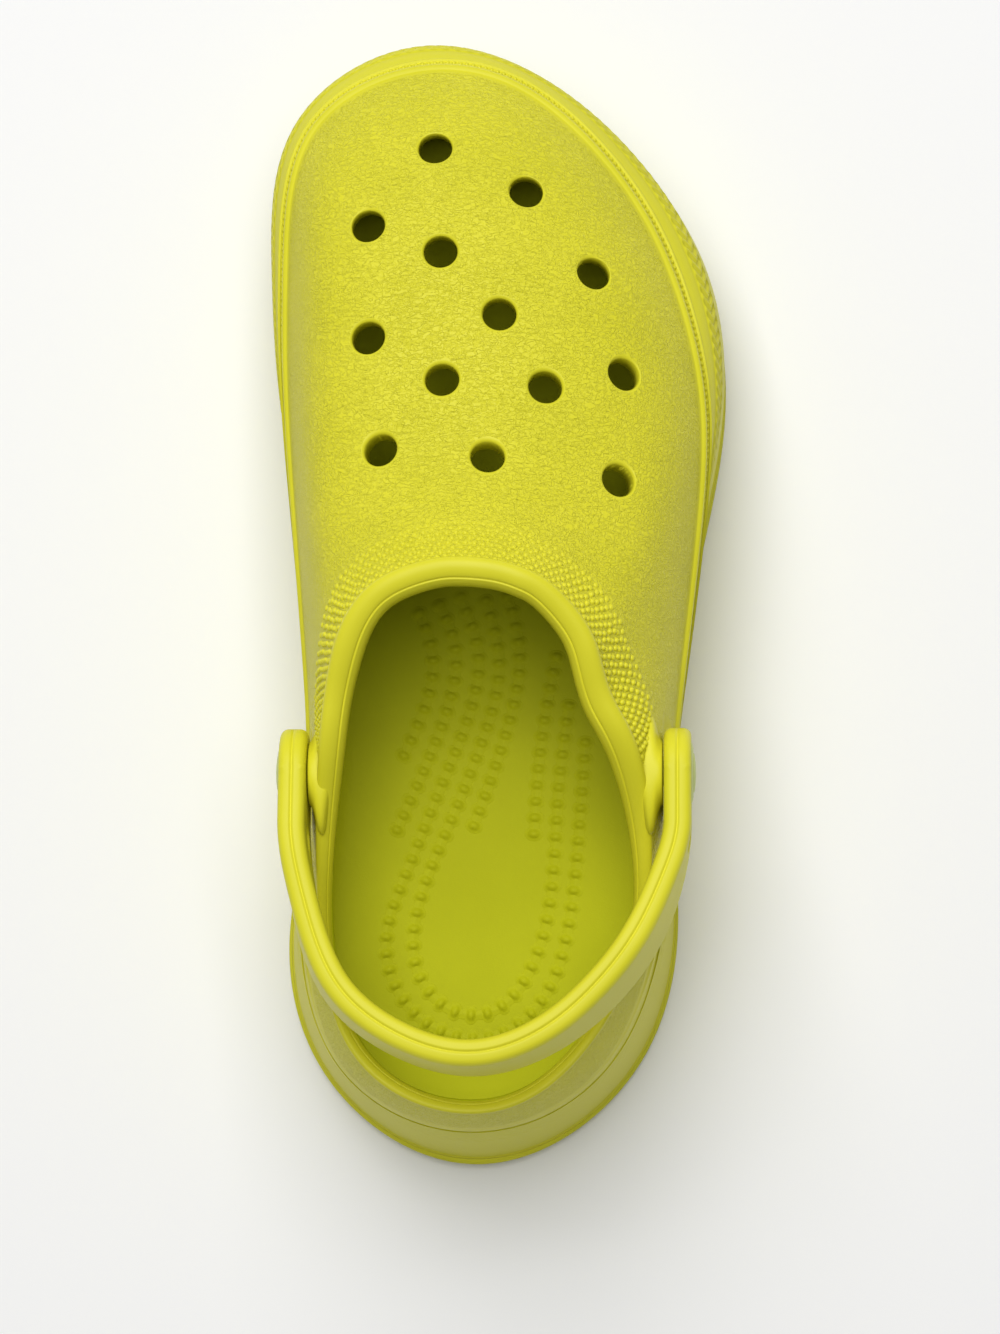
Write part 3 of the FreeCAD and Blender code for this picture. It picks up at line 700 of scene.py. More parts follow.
for line in range(COLLAR_LINES):
    gap = 1.4 + line * COLLAR_SPACING
    spots = loop_spots(outer[:, -8], COLLAR_PITCH, 0.5 * (line % 2))
    rim_y = rim_curve[np.floor(spots).astype(int) % UPPER_COLUMNS, 1]
    reach = ease(rim_y, -43.5 + line * 1.1, -41 + line * 1.1)
    spots, rim_y, reach = (a[reach > 0.25] for a in (spots, rim_y, reach))
    column = np.floor(spots).astype(int) % UPPER_COLUMNS
    points, normals, along = on_outer(spots, outer_run[column] - gap)
    from_pivot = np.hypot(points[:, 1] - PIVOT_Y, points[:, 2] - PIVOT_Z)
    flat = np.where(points[:, 0] > 0, PAD_X["lateral"] - points[:, 0], points[:, 0] - PAD_X["medial"])
    keep = (from_pivot > 15.8) | (flat > 1.2)
    front = ease(rim_y, -14, 0)
    size = 0.74 - 0.12 * front
    height = (0.62 - 0.27 * front) * (0.4 + 0.6 * reach) * (1.0 if line < COLLAR_LINES - 2 else 0.62)
    stud_parts.append(
        dome_dots(points[keep], normals[keep], along[keep], size[keep], height[keep], sides=8)
    )
studs = mesh_object("clog_studs", *joined(stud_parts), (smooth_mat,))

# ---------------------------------------------------------------------------------
# Sole side with a smooth band and a band of slanted ribs under the bond line
# ---------------------------------------------------------------------------------


def sole_row(front_spread, heel_spread, height_part):
    """Row of the sole side: how far it has spread from bond line to widest line."""
    front = np.clip((WELT[:, 1] + 30) / 70, 0, 1)
    spread = heel_spread + (front_spread - heel_spread) * front
    plan = WELT[:, :2] + (SOLE[:, :2] - WELT[:, :2]) * spread[:, None]
    return np.concatenate([plan, (WELT[:, 2] * height_part)[:, None]], axis=1)


side_rows = through(
    [
        WELT,
        sole_row(0.70, 0.22, 0.84),
        sole_row(0.98, 0.50, 0.58),
        sole_row(1.00, 0.80, 0.28),
        sole_row(0.88, 1.00, 0.0),
    ]
)


def tread_height(y):
    """Height of the tread above the ground, raised at toe and heel."""
    toe = 7.0 * np.clip((np.asarray(y) - 62) / 75, 0, 2) ** 2
    heel = 2.5 * np.clip((-112 - np.asarray(y)) / 25, 0, 2) ** 1.88
    return toe + heel


SOLE_COLUMNS = 1500
sole_u = np.arange(SOLE_COLUMNS) / SOLE_COLUMNS
side_fine = band(side_rows, sole_u, np.linspace(0, 1, 161))
side_run = lengths(side_fine)
split_at = np.empty(SOLE_COLUMNS)
for i in range(SOLE_COLUMNS):
    level = side_fine[i, :, 2] - tread_height(side_fine[i, :, 1]) - OUTSOLE_THICK
    split_at[i] = np.interp(0, -level, side_run[i])
RIB_START = 5.3
RIB_END = 12.0
RIB_PITCH = 3.1
near_bond = np.concatenate(
    [[0, 0.2, 0.5, 0.9, 1.6, 2.8, 3.8, 4.3, 4.6, 4.85, 5.1], np.arange(5.35, 12.3, 0.42), [12.5, 12.9, 13.6]]
)
lower = np.linspace(0, 1, 22)[1:]
side_distance = np.concatenate(
    [
        np.repeat(near_bond[None, :], SOLE_COLUMNS, axis=0),
        near_bond[-1] + (split_at - near_bond[-1] - 0.9)[:, None] * lower[None, :],
        split_at[:, None] - np.array([0.6, 0.3, 0.08])[None, :],
    ],
    axis=1,
)
side = resample(side_fine, side_distance)
side_normal = grid_normals(side)
mid_line = side[:, 20]
rib_run = path_run(np.concatenate([mid_line, mid_line[:1]]))
RIB_COUNT = round(rib_run[-1] / RIB_PITCH)
rib_place = rib_run[:-1] / rib_run[-1] * RIB_COUNT


def side_relief(s):
    """Height of the sole side near the bond line, in millimetres."""
    along = rib_place[:, None] + 0 * s
    across = (s - RIB_START) / (RIB_END - RIB_START)
    zigzag = 0.85 * abs(2 * across - 1.0)
    wave = abs(np.mod(along + zigzag, 1.0) * 2 - 1)
    rib = ease(wave, 0.25, 0.75) * bump(s, RIB_START + 0.2, RIB_END - 0.2, 0.35)
    band_part = 0.1 + 0.9 * ease(side_fine[:, :1, 1], -96, -62)
    base = -0.45 * band_part * bump(s, RIB_START - 0.1, RIB_END + 0.1, 0.3)
    crease = -0.55 * (0.35 + 0.65 * band_part) * (1 - ease(s, 0.0, 0.7))
    foot = -0.5 * ease(s - split_at[:, None], -0.6, 0.0)
    return base + 0.62 * band_part * rib + crease + foot


side = side + side_normal * side_relief(side_distance)[:, :, None]
sole_in = closed_spline(welt_in, sole_u)[:, None, :]
split_edge = side[:, -1:, :]
under_edge = split_edge + sole_in * 8.0
inside_low = split_edge + sole_in * 8.0 + up * 14
inside_high = closed_spline(WELT, sole_u)[:, None, :] + sole_in * (WALL + 1.6) - up * 3.0
top_edge = closed_spline(WELT, sole_u)[:, None, :] + sole_in * 1.2 - up * 0.7
sole_grid = np.concatenate([side, under_edge, inside_low, inside_high, top_edge], axis=1)
midsole = closed_object(
    "clog_midsole",
    sole_grid.reshape(-1, 3),
    grid_faces(SOLE_COLUMNS, sole_grid.shape[1], close_rows=True),
    (sole_mat,),
)

# ---------------------------------------------------------------------------------
# Outsole: a lip around the sole and a tread with cross grooves
# ---------------------------------------------------------------------------------
TREAD_COLUMNS = 900
GROOVE_PITCH = 12.0
GROOVE_WIDTH = 3.0
tread_u = np.arange(TREAD_COLUMNS) / TREAD_COLUMNS
edge = closed_spline(side_rows[-1], tread_u)
edge_in = to_unit(closed_spline(inward(side_rows[-1]), tread_u))
edge = edge - edge_in * OUTSOLE_LIP
edge[:, 2] = 0
LIP_SECTION = [
    (6.0, 5.9), (1.6, 5.95), (0.9, 5.85), (0.35, 5.5), (0.05, 4.9), (0, 3.6), (0.02, 1.6), (0.3, 0.6),
    (0.9, 0.12), (1.7, 0.0), (3.5, 0.0),
]
lip = []
for distance, height in LIP_SECTION:
    ring = edge + edge_in * distance
    ring[:, 2] = height + tread_height(ring[:, 1])
    lip.append(ring)


def filled(loop, spacing, margin):
    """Triangles that fill a closed loop in plan: points with the loop's first, and faces."""
    loop = np.asarray(loop)[:, :2]
    low, high = loop.min(axis=0), loop.max(axis=0)
    xs = np.arange(low[0] + spacing / 2, high[0], spacing)
    ys = np.arange(low[1] + spacing / 2, high[1], spacing)
    lattice = np.stack(np.meshgrid(xs, ys), axis=-1).reshape(-1, 2)
    step = np.roll(loop, -1, axis=0) - loop
    away = lattice[:, None, :] - loop[None, :, :]
    near = np.min(np.hypot(away[..., 0], away[..., 1]), axis=1) > margin
    crosses = (loop[None, :, 1] > lattice[:, None, 1]) != (
        np.roll(loop, -1, axis=0)[None, :, 1] > lattice[:, None, 1]
    )
    slope = np.where(abs(step[:, 1]) < 1e-9, 1e-9, step[:, 1])
    hit = loop[None, :, 0] + away[..., 1] * (step[:, 0] / slope)[None, :]
    odd = np.sum(crosses & (lattice[:, None, 0] < hit), axis=1) % 2 == 1
    points = np.concatenate([loop, lattice[near & odd]])
    ring = list(range(len(loop)))
    _, _, faces, origins, _, _ = delaunay_2d_cdt([Vector(p) for p in points], [], [ring], 1, 1e-6)
    number = [origin[0] for origin in origins]
    return points, [[number[v] for v in face] for face in faces]


def capped(rings, heights, spacing, margin, first_height=None):
    """Closed mesh from nested rings whose last one (and first, if asked) is filled in plan."""
    count = len(rings[0])
    grid = np.stack(rings, axis=1)
    rows_here = grid.shape[1]
    vertices = list(grid.reshape(-1, 3))
    faces = grid_faces(count, rows_here)
    for row, height_of, wanted in ((rows_here - 1, heights, True), (0, first_height, first_height)):
        if not wanted:
            continue
        points, more = filled(rings[row], spacing, margin)
        start = len(vertices)
        inner_points = points[count:]
        level = height_of(inner_points[:, 0], inner_points[:, 1])
        vertices.extend(np.column_stack([inner_points, level]))
        lookup = [i * rows_here + row for i in range(count)] + list(range(start, start + len(inner_points)))
        faces.extend([[lookup[v] for v in face] for face in more])
    return vertices, faces


def tread_plane(x, y):
    """Height of the tread's underside."""
    return tread_height(y) + 0 * x


def tread_roof(x, y):
    """Height of the tread's top, under the midsole."""
    return tread_plane(x, y) + LIP_SECTION[0][1]


outsole = closed_object("clog_outsole", *capped(lip, tread_plane, 5.0, 3.0, tread_roof), (tread_mat,))

# Cross grooves of the tread, softened at their mouths and kept inside a plain border.
GROOVE_BORDER = 7.0
GROOVE_COUNT = 17
GROOVE_FIRST = -100
GROOVE_SKIPPED = -16
groove_loop = edge + edge_in * GROOVE_BORDER
GROOVE_SECTION = [
    (-2.1, -1.0), (-1.85, -0.02), (-1.62, 0.12), (-1.5, 0.4), (-1.5, 1.9), (-1.2, 2.2),
    (1.2, 2.2), (1.5, 1.9), (1.5, 0.4), (1.62, 0.12), (1.85, -0.02), (2.1, -1.0),
]
groove_parts = []
for i in range(GROOVE_COUNT):
    groove_start = GROOVE_FIRST + GROOVE_PITCH * i
    middle = groove_start + GROOVE_WIDTH / 2
    if groove_start == GROOVE_SKIPPED:
        continue
    ends = []
    for side_sign in (-1, 1):
        half_loop = groove_loop[groove_loop[:, 0] * side_sign > -6 * side_sign]
        half_loop = half_loop[np.argsort(half_loop[:, 1])]
        ys = [middle + y for y, _ in GROOVE_SECTION]
        xs = np.interp(ys, half_loop[:, 1], half_loop[:, 0])
        ends.append(np.stack([xs, ys, [z for _, z in GROOVE_SECTION]], axis=1))
    if middle + 2.1 > groove_loop[:, 1].max() - 1 or middle - 2.1 < groove_loop[:, 1].min() + 1:
        continue
    count = len(GROOVE_SECTION)
    groove_faces = [[k, (k + 1) % count, count + (k + 1) % count, count + k] for k in range(count)]
    groove_faces += [list(range(count))[::-1], list(range(count, 2 * count))]
    groove_parts.append((np.concatenate(ends), groove_faces))
carve(outsole, "groove_cutter", groove_parts, tread_mat)

# ---------------------------------------------------------------------------------
# Footbed with chains of massage nubs
# ---------------------------------------------------------------------------------


HEEL_SEAT = 40.0
BALL_SEAT = 32.5
TOE_SEAT = 35.0
CUP_RISE = 5.5


def foot_height(x, y):
    """Height of the footbed surface, cupped towards its edges."""
    middle = HEEL_SEAT + (BALL_SEAT - HEEL_SEAT) * ease(y, -60, 40)
    middle = middle + (TOE_SEAT - BALL_SEAT) * ease(y, 60, 125)
    cup = CUP_RISE * (1 - 0.6 * ease(y, -20, 60))
    return middle + cup * ((np.asarray(x) + 4) / 42) ** 2


BED_COLUMNS = 420
bed_u = np.arange(BED_COLUMNS) / BED_COLUMNS
wall_in = closed_spline(welt_in, bed_u)
WALL_ROWS = 60
EDGE_RISE = 1.6
bed_wall = band(pocket_rows, bed_u, np.linspace(0, 1, WALL_ROWS))
bed_edge = np.empty((BED_COLUMNS, 3))
for i in range(BED_COLUMNS):
    drop = bed_wall[i, :, 2] - foot_height(bed_wall[i, :, 0], bed_wall[i, :, 1]) - EDGE_RISE
    part = np.interp(0, -drop, np.arange(WALL_ROWS))
    for axis in range(3):
        bed_edge[i, axis] = np.interp(part, np.arange(WALL_ROWS), bed_wall[i, :, axis])
bed_inside = to_unit(wall_in)


def bed_ring(distance):
    """Ring of the footbed surface at a distance from its edge, lifted where it meets the wall."""
    ring = bed_edge + bed_inside * distance
    ring[:, 2] = foot_height(ring[:, 0], ring[:, 1]) + 1.9 * max(0.0, 1 - distance / 4.0) ** 2
    return ring


skirt = bed_edge - wall_in * 0.3
skirt[:, 2] = bed_edge[:, 2] - 7
bed_rings = [skirt] + [bed_ring(d) for d in (0, 0.3, 0.7, 1.2, 1.8, 2.5, 3.3, 4.2)]


def bed_base(x, y):
    """Height of the footbed's underside."""
    return foot_height(x, y) - 5


footbed = closed_object("clog_footbed", *capped(bed_rings, foot_height, 2.4, 1.3, bed_base), (footbed_tone_and_shade_mat,))


def open_spline(points, samples, start=None, end=None):
    """Smooth open curve through points, with optional end directions."""
    points = np.asarray(points, float)
    steps = np.linalg.norm(np.diff(points, axis=0), axis=1)
    knots = np.concatenate([[0], np.cumsum(steps)])
    n = len(points)
    matrix = np.zeros((n, n))
    right = np.zeros((n, points.shape[1]))
    rise = np.diff(points, axis=0) / steps[:, None]
    for i in range(1, n - 1):
        matrix[i, i - 1 : i + 2] = steps[i - 1], 2 * (steps[i - 1] + steps[i]), steps[i]
        right[i] = 6 * (rise[i] - rise[i - 1])
    matrix[0, 0] = matrix[-1, -1] = 1
    if start is not None:
        matrix[0, :2] = 2 * steps[0], steps[0]
        right[0] = 6 * (rise[0] - np.asarray(start, float))
    if end is not None:
        matrix[-1, -2:] = steps[-1], 2 * steps[-1]
        right[-1] = 6 * (np.asarray(end, float) - rise[-1])
    bend = np.linalg.solve(matrix, right)
    t = np.linspace(0, knots[-1], samples)
    i = np.clip(np.searchsorted(knots, t, side="right") - 1, 0, n - 2)
    a, b, h = (t - knots[i])[:, None], (knots[i + 1] - t)[:, None], steps[i][:, None]
    return (
        bend[i] * b**3 / (6 * h)
        + bend[i + 1] * a**3 / (6 * h)
        + (points[i] / h - bend[i] * h / 6) * b
        + (points[i + 1] / h - bend[i + 1] * h / 6) * a
    )


NUB_CHAINS = [
    [(-19, -4), (-15.5, -16), (-16.5, -24), (-22.5, -39)],
    [(-14, -2), (-10, -14), (-11, -24), (-16.5, -40), (-24, -57)],
    [
        (-9, 0), (-4.5, -14.5), (-7, -30), (-14.5, -49), (-22, -68), (-26.6, -84), (-23, -97),
        (-12, -106), (0, -106.5), (11, -98), (17.5, -80), (20, -58), (21.5, -36),
    ],
    [
        (-3, -1), (0.5, -16), (-3, -34), (-12, -57), (-19, -76), (-19, -91), (-10.5, -100.5),
        (-2, -101), (8, -91), (13.5, -70), (15, -48), (17.5, -27),
    ],
    [(2.5, 0), (5.5, -14), (3.5, -29), (-5.5, -56)],
    [(14.5, -15), (11.5, -31), (9, -58)],
]
NUB_PITCH = 4.0
JOINING_SECTION = [
    (-1.5, -0.3), (-1.35, 0.0), (-1.0, 0.03), (-0.6, 0.1), (-0.25, 0.19), (0, 0.21),
    (0.25, 0.19), (0.6, 0.1), (1.0, 0.03), (1.35, 0.0), (1.5, -0.3),
]


def bed_normal(x, y):
    """Unit normals of the footbed surface."""
    step = 0.5
    slope_x = (foot_height(x + step, y) - foot_height(x - step, y)) / (2 * step)
    slope_y = (foot_height(x, y + step) - foot_height(x, y - step)) / (2 * step)
    return to_unit(np.stack([-slope_x, -slope_y, np.ones_like(x)], axis=1))


nub_parts = []
for chain in NUB_CHAINS:
    path = open_spline(chain, 400)
    run = path_run(path)
    count = round(run[-1] / NUB_PITCH)
    places = np.linspace(0, run[-1], count + 1)
    x, y = (np.interp(places, run, path[:, axis]) for axis in (0, 1))
    before = np.stack([np.interp(places - 0.3, run, path[:, k]) for k in (0, 1)], axis=1)
    after = np.stack([np.interp(places + 0.3, run, path[:, k]) for k in (0, 1)], axis=1)
    ahead = after - before
    along = np.concatenate([ahead, np.zeros((len(x), 1))], axis=1)
    spots = np.stack([x, y, foot_height(x, y)], axis=1)
    normals = bed_normal(x, y)
    across = np.cross(normals, along)
    size, height = np.full(len(x), 1.12), np.full(len(x), 0.95)
    nub_parts.append(dome_dots(spots, normals, across, size, height, stretch=1.35, sides=18, rings=SOFT_DOME))
    # A faint raised line joins the nubs of a chain.
    line = np.stack([path[:, 0], path[:, 1], foot_height(path[:, 0], path[:, 1])], axis=1)
    line_normal = bed_normal(line[:, 0], line[:, 1])
    line_side = to_unit(np.cross(line_normal, np.gradient(line, axis=0)))
    strip = np.stack([line + line_side * a + line_normal * b for a, b in JOINING_SECTION], axis=1)
    strip_rows = len(JOINING_SECTION)
    strip_faces = grid_faces(len(line), strip_rows, close_columns=False, close_rows=True)
    strip_faces.append(list(range(strip_rows)))
    strip_faces.append([(len(line) - 1) * strip_rows + k for k in range(strip_rows)][::-1])
    nub_parts.append((strip.reshape(-1, 3), strip_faces))
nubs = closed_object("clog_nubs", *joined(nub_parts), (footbed_tone_and_shade_mat,))

# ---------------------------------------------------------------------------------
# Bosses inside the wall for the rivets
# ---------------------------------------------------------------------------------
BOSS_DEPTH = 5.5
BOSS_SECTION = [
    (3.0, 5.49), (3.0, 1.6), (6.05, 1.6), (6.05, 0.25), (6.3, 0.0), (7.0, 0.0), (7.6, 0.25),
    (8, 0.9), (8, 1.6), (8, 2.2), (8, 2.8), (8, 3.4), (7.98, 3.9), (7.95, 4.4), (7.85, 4.9),
    (7.6, 5.3), (7.2, 5.49), (3.0, 5.49),
]
boss_parts = []
for label, face in PAD_X.items():
    centre = np.array([face - SIDE[label] * BOSS_DEPTH, PIVOT_Y, PIVOT_Z])
    vertices, faces = lathe(BOSS_SECTION, 96, centre, (SIDE[label], 0, 0))
    vertices = np.array(vertices)
    depth = abs(face - vertices[:, 0])
    rim_part = np.hypot(vertices[:, 1] - PIVOT_Y, vertices[:, 2] - PIVOT_Z) > 6.6
    flare = 1 + 0.8 * ease(depth, 0.4, 2.6) * (1 - ease(depth, 3.4, 5.3)) * rim_part
    vertices[:, 1] = PIVOT_Y + (vertices[:, 1] - PIVOT_Y) * flare
    boss_parts.append((vertices, faces))
bosses = mesh_object("clog_bosses", *joined(boss_parts), (smooth_mat,))

# ---------------------------------------------------------------------------------
# Heel strap: a band with round ends and soft edges that loops around the heel
# ---------------------------------------------------------------------------------
ARM_X = {label: PAD_X[label] + SIDE[label] * (STRAP_GAP + STRAP_THICK) for label in PAD_X}
ARM_END = -57
STRAP_PLAN = [
    (ARM_X["lateral"], ARM_END, 0), (44.6, -71.5, 0.9), (38.2, -86.5, 1.6), (28.6, -99.1, 1.7),
    (14, -110.6, 1.4), (-3.5, -115.6, 1.2), (-21, -111.4, 1.2), (-37, -99, 1.2), (-46.1, -76, 0.7),
    (ARM_X["medial"], ARM_END, 0),
]
loop_line = open_spline(STRAP_PLAN, 900, start=(0, -1, 0), end=(0, 1, 0))
nose_y = PIVOT_Y + STRAP_HALF * np.cos(np.linspace(0, 1, 26) * math.pi / 2)
arm_y = np.concatenate([nose_y, np.linspace(PIVOT_Y, ARM_END, 12)[1:]])
loop_run = path_run(loop_line)
even = np.linspace(0, loop_run[-1], 260)[1:-1]
loop_points = np.stack([np.interp(even, loop_run, loop_line[:, k]) for k in range(3)], axis=1)
lateral_arm = np.stack([np.full(len(arm_y), ARM_X["lateral"]), arm_y, 0 * arm_y], axis=1)
medial_arm = np.stack([np.full(len(arm_y), ARM_X["medial"]), arm_y[::-1], 0 * arm_y], axis=1)
strap_all = np.concatenate([lateral_arm, loop_points, medial_arm])
strap_line, strap_lean = strap_all[:, :2], strap_all[:, 2] / STRAP_HALF
strap_ahead = to_unit(np.gradient(strap_line, axis=0))
strap_out = np.stack([-strap_ahead[:, 1], strap_ahead[:, 0]], axis=1)
strap_mid = strap_line - strap_out * STRAP_THICK / 2

CLIMB = math.radians(10)
side_line = open_spline(
    [(PIVOT_Y, PIVOT_Z), (-76, PIVOT_Z + 30 * math.tan(CLIMB)), (-100, PIVOT_Z + 8.6), (-122, PIVOT_Z + 9.6)],
    300,
    start=(-math.cos(CLIMB), math.sin(CLIMB)),
)
side_ahead = to_unit(np.gradient(side_line, axis=0))
side_up = np.stack([side_ahead[:, 1], -side_ahead[:, 0]], axis=1) * STRAP_HALF


def band_limit(y, sign):
    """Height of the strap's upper (+1) or lower (-1) edge at a place fore and aft."""
    edge_line = side_line + side_up * sign
    straight = np.interp(-y, -edge_line[:, 0], edge_line[:, 1])
    nose = PIVOT_Z + sign * np.sqrt(np.maximum(STRAP_HALF**2 - (y - PIVOT_Y) ** 2, 0))
    return np.where(y > edge_line[0, 0], nose, straight)


def edge_gap(y, z):
    """Distance from a place in the side view to the strap's outline."""
    ahead_of_pivot = (y - PIVOT_Y) * math.cos(CLIMB) - (z - PIVOT_Z) * math.sin(CLIMB) > 0
    nose = STRAP_HALF - np.hypot(y - PIVOT_Y, z - PIVOT_Z)
    centre = np.interp(-y, -side_line[:, 0], side_line[:, 1])
    slope = np.interp(-y, -side_line[:, 0], abs(side_ahead[:, 0]))
    along_band = STRAP_HALF - abs(z - centre) * slope
    return np.where(ahead_of_pivot, nose, np.minimum(along_band, STRAP_HALF))


def half_thickness(gap):
    """Half the strap's thickness at a distance from its outline."""
    inside = np.clip(gap, 0, STRAP_EDGE)
    return STRAP_THICK / 2 - STRAP_EDGE + np.sqrt(STRAP_EDGE**2 - (STRAP_EDGE - inside) ** 2)


near_edge = np.array([0, 0.06, 0.18, 0.36, 0.6, 0.95, 1.4, 1.9, 2.8, 4.2, 6.0, 8.2]) / STRAP_HALF
heights = np.concatenate([near_edge - 1, [0], (1 - near_edge)[::-1]])
low = band_limit(strap_mid[:, 1], -1)
high = band_limit(strap_mid[:, 1], 1)
z = (low + high)[:, None] / 2 + (high - low)[:, None] / 2 * heights[None, :]
y = np.repeat(strap_mid[:, 1:2], z.shape[1], axis=1)
half = half_thickness(edge_gap(y, z))
outward = strap_out[:, None, :]


def leaning(rise):
    """Plan of the strap's middle where it stands at some height from its centre line."""
    return strap_mid[:, None, :] - outward * (strap_lean[:, None] * rise)[..., None]


plan = leaning(z - (low + high)[:, None] / 2)
outside = np.concatenate([plan + outward * half[..., None], z[..., None]], axis=2)
inside = np.concatenate([plan - outward * half[..., None], z[..., None]], axis=2)[:, ::-1]
PARTING_SECTION = [(0.80, 0.08), (0.26, 0.06), (0.11, -0.30), (-0.11, -0.30), (-0.26, 0.06), (-0.80, 0.08)]


def rim_strip(limit, sign, section):
    """Rows across the strap's edge, with a fine moulding line along its middle."""
    soft = np.clip((high - low) / 4, 0, 1)
    base = leaning((limit - (low + high) / 2)[:, None])[:, 0]
    strips = []
    for across, lift in section:
        level = limit + sign * lift * soft
        strips.append(np.concatenate([base + strap_out * across, level[:, None]], axis=1))
    return np.stack(strips, axis=1)


top_strip = rim_strip(high, 1, PARTING_SECTION)
low_strip = rim_strip(low, -1, PARTING_SECTION[::-1])
strap_grid = np.concatenate([outside, top_strip, inside, low_strip], axis=1)
strap_faces = grid_faces(len(strap_grid), strap_grid.shape[1], close_columns=False, close_rows=True)
strap = mesh_object("heel_strap_band", strap_grid.reshape(-1, 3), strap_faces, (strap_mat,))
weld = bmesh.new()
weld.from_mesh(strap.data)
bmesh.ops.remove_doubles(weld, verts=weld.verts, dist=0.00002)
bmesh.ops.dissolve_degenerate(weld, edges=weld.edges, dist=0.000001)
bmesh.ops.recalc_face_normals(weld, faces=weld.faces)
weld.to_mesh(strap.data)
weld.free()

SHANK_HOLE = 3.08
SPARE_HOLE = 3.2
SPARE_OFFSET = 16
RECESS = 8.5
RECESS_DEPTH = 1.5
strap_cutters = []
for label in PAD_X:
    side_sign = SIDE[label]
    outer_x = ARM_X[label]
    axis = (side_sign, 0, 0)
    centre = np.array([outer_x, PIVOT_Y, PIVOT_Z])
    recess = [
        (0, 1.0), (RECESS + 1.2, 1.0), (RECESS + 0.5, 0.1), (RECESS + 0.2, -0.12), (RECESS + 0.04, -0.34),
        (RECESS, -0.6), (RECESS, -1.2), (RECESS - 0.3, -RECESS_DEPTH), (SHANK_HOLE, -RECESS_DEPTH),
        (SHANK_HOLE, -STRAP_THICK - 1), (0, -STRAP_THICK - 1),
    ]
    strap_cutters.append(lathe(recess, 80, centre, axis))
    spare = centre + SPARE_OFFSET * np.array([0, -math.cos(CLIMB), math.sin(CLIMB)])
    mouth = [
        (0, 1.0), (SPARE_HOLE + 1.2, 1.0), (SPARE_HOLE + 0.55, 0.1), (SPARE_HOLE + 0.3, -0.06),
        (SPARE_HOLE + 0.1, -0.28), (SPARE_HOLE, -0.6), (SPARE_HOLE, -5.9), (SPARE_HOLE + 0.4, -6.5),
        (SPARE_HOLE + 0.9, -7.4), (0, -7.4),
    ]
    strap_cutters.append(lathe(mouth, 64, spare, axis))
carve(strap, "strap_cutter", strap_cutters, strap_mat)

# ---------------------------------------------------------------------------------
# Rivets: a domed cap with a plain ring outside, and a headed post from inside
# ---------------------------------------------------------------------------------
CAP_STACK = 2 * STRAP_GAP + STRAP_THICK - RECESS_DEPTH
CAP_SOCKET = 1.4
CAP_PROFILE = [
    (0, CAP_SOCKET), (3.0, CAP_SOCKET),
    (3.0, 0.0), (6.9, 0.0), (7.25, 0.1), (7.45, 0.35), (7.5, 0.7), (7.42, 1.0), (7.2, 1.24), (6.8, 1.42),
    (6.2, 1.56), (5.75, 1.66), (5.6, 1.60), (5.5, 1.46), (5.4, 1.42), (4.9, 1.46), (4.75, 1.52), (4.65, 1.72),
    (4.5, 1.88), (4.0, 1.98), (3.0, 2.12), (2.0, 2.22), (1.0, 2.28), (0, 2.3),
]
POST_LENGTH = BOSS_DEPTH + CAP_STACK + CAP_SOCKET
POST_PROFILE = [
    (0, 0.12), (2.2, 0.10), (2.5, 0.0), (5.5, 0.0), (5.85, 0.12), (6, 0.4), (6, 1.35), (5.85, 1.6),
    (3, 1.6), (3, POST_LENGTH - 0.3), (2.7, POST_LENGTH), (0, POST_LENGTH),
]
for label, face in PAD_X.items():
    side_sign = SIDE[label]
    axis = (side_sign, 0, 0)
    seat_point = np.array([face + side_sign * CAP_STACK, PIVOT_Y, PIVOT_Z])
    turned_cap = lathe(CAP_PROFILE, 96, seat_point, axis)
    cap = closed_object("rivet_cap_%s_round" % label, *turned_cap, (rivet_mat,))
    head_point = np.array([face - side_sign * BOSS_DEPTH, PIVOT_Y, PIVOT_Z])
    turned_post = lathe(POST_PROFILE, 96, head_point, axis)
    post = closed_object("rivet_post_%s_round" % label, *turned_post, (rivet_mat,))
    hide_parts("rivet_cap_" + label)
    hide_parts("rivet_post_" + label)
    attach(cap, "clog")
    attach(post, "clog")

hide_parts("upper_shell")
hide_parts("midsole")
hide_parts("outsole")
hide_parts("footbed")
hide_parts("heel_strap")
for piece, slot_name in (
    (upper, "upper_rubber"),
    (studs, "upper_rubber"),
    (bosses, "upper_rubber"),
    (midsole, "sole_rubber"),
    (outsole, "tread_rubber"),
    (footbed, "footbed_rubber"),
    (nubs, "footbed_rubber"),
):
    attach(piece, "clog")
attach(strap, "strap")

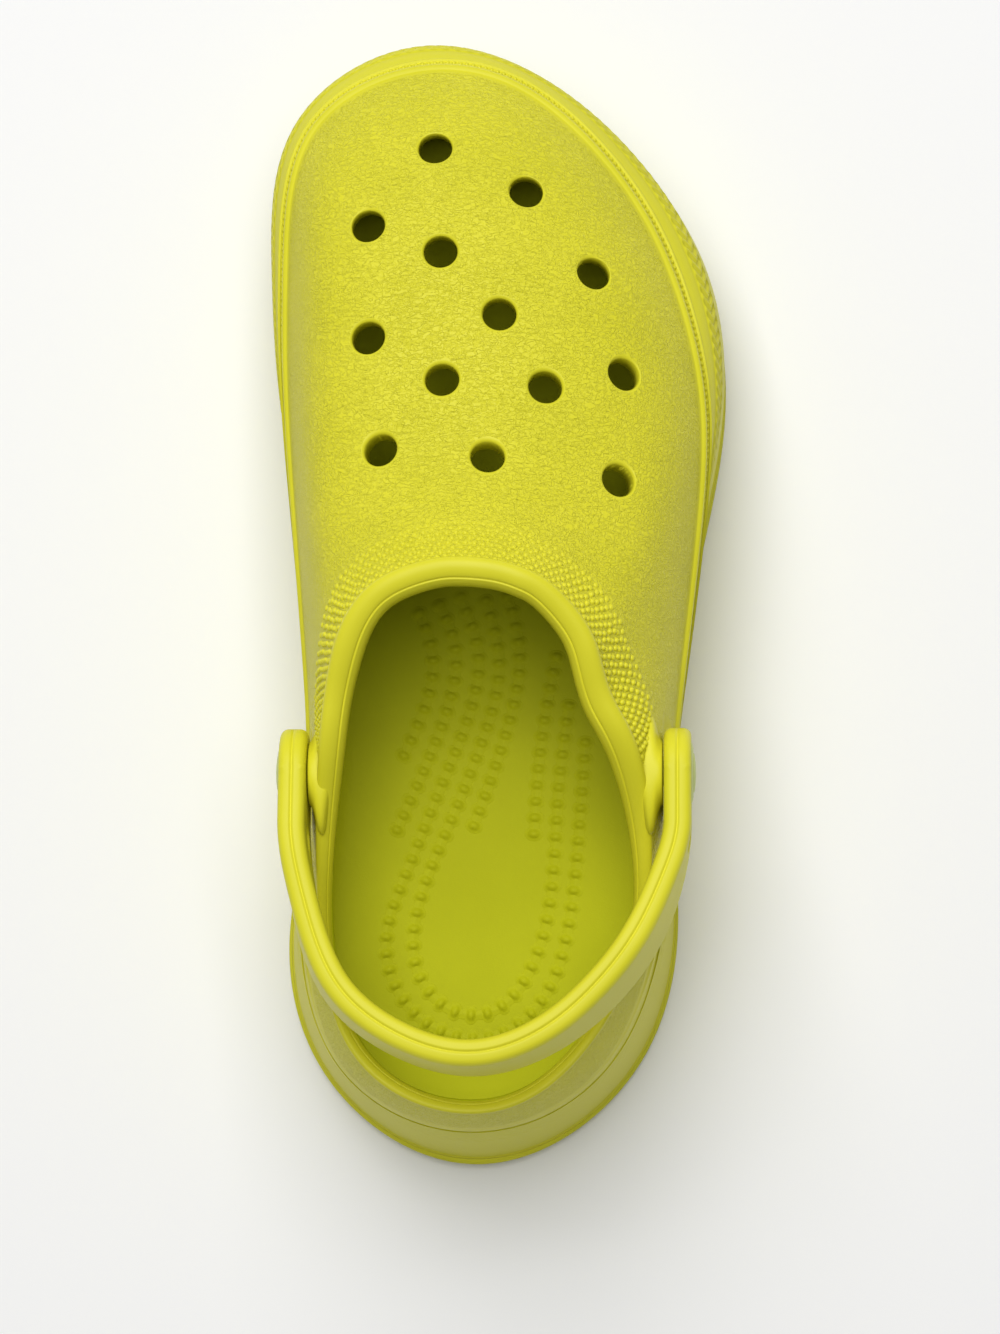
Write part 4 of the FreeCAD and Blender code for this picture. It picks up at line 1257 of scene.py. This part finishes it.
# ---------------------------------------------------------------------------------
# Floor, light and camera
# ---------------------------------------------------------------------------------
paper = bpy.data.materials.new("pale_floor")
paper.use_nodes = True
paper_shader = paper.node_tree.nodes["Principled BSDF"]
paper_shader.inputs["Base Color"].default_value = (0.93, 0.93, 0.93, 1)
paper_shader.inputs["Roughness"].default_value = 0.9
paper_shader.inputs["Specular IOR Level"].default_value = 0.1
FLOOR_HALF = 3000
floor_corners = [(x * FLOOR_HALF, y * FLOOR_HALF, 0) for x, y in ((-1, -1), (1, -1), (1, 1), (-1, 1))]
floor = mesh_object("floor", floor_corners, [(0, 1, 2, 3)], (paper,))


def softbox(name, place, target, width, depth, power):
    """Rectangular area light that faces a target; millimetres and watts."""
    data = bpy.data.lights.new(name, "AREA")
    data.shape = "RECTANGLE"
    data.size = width * MM
    data.size_y = depth * MM
    data.energy = power
    item = bpy.data.objects.new(name, data)
    bpy.context.scene.collection.objects.link(item)
    item.location = Vector(place) * MM
    item.rotation_euler = (Vector(place) - Vector(target)).to_track_quat("Z", "Y").to_euler()
    return item


softbox("overhead", (-60, 330, 2400), (0, 0, 0), 1500, 1500, 36)
softbox("toe_key", (-250, 1250, 1900), (0, 20, 60), 1400, 1200, 19)
world = bpy.data.worlds.new("studio")
world.use_nodes = True
world.node_tree.nodes["Background"].inputs["Color"].default_value = (1, 1, 1, 1)
world.node_tree.nodes["Background"].inputs["Strength"].default_value = 0.16
bpy.context.scene.world = world
bpy.context.scene.view_settings.view_transform = "Standard"

back = np.array([math.sin(math.radians(2.5)), -math.sin(math.radians(5)) * math.cos(math.radians(2.5)), 0])
back[2] = math.sqrt(1 - back @ back)
place = np.array([1.25, -18.4, 50]) + back * 1250 / back[2]
across = np.cross([0, 1, 0], back)
across /= np.linalg.norm(across)
upward = np.cross(back, across)
camera_data = bpy.data.cameras.new("camera")
camera_data.sensor_fit = "VERTICAL"
camera_data.sensor_height = 36
camera_data.lens = 141.3
camera_data.clip_start = 0.05
camera_data.clip_end = 20
camera = bpy.data.objects.new("camera", camera_data)
bpy.context.scene.collection.objects.link(camera)
camera.matrix_world = Matrix(
    [
        [across[0], upward[0], back[0], place[0] * MM],
        [across[1], upward[1], back[1], place[1] * MM],
        [across[2], upward[2], back[2], place[2] * MM],
        [0, 0, 0, 1],
    ]
)
bpy.context.scene.camera = camera

bpy.context.view_layer.update()
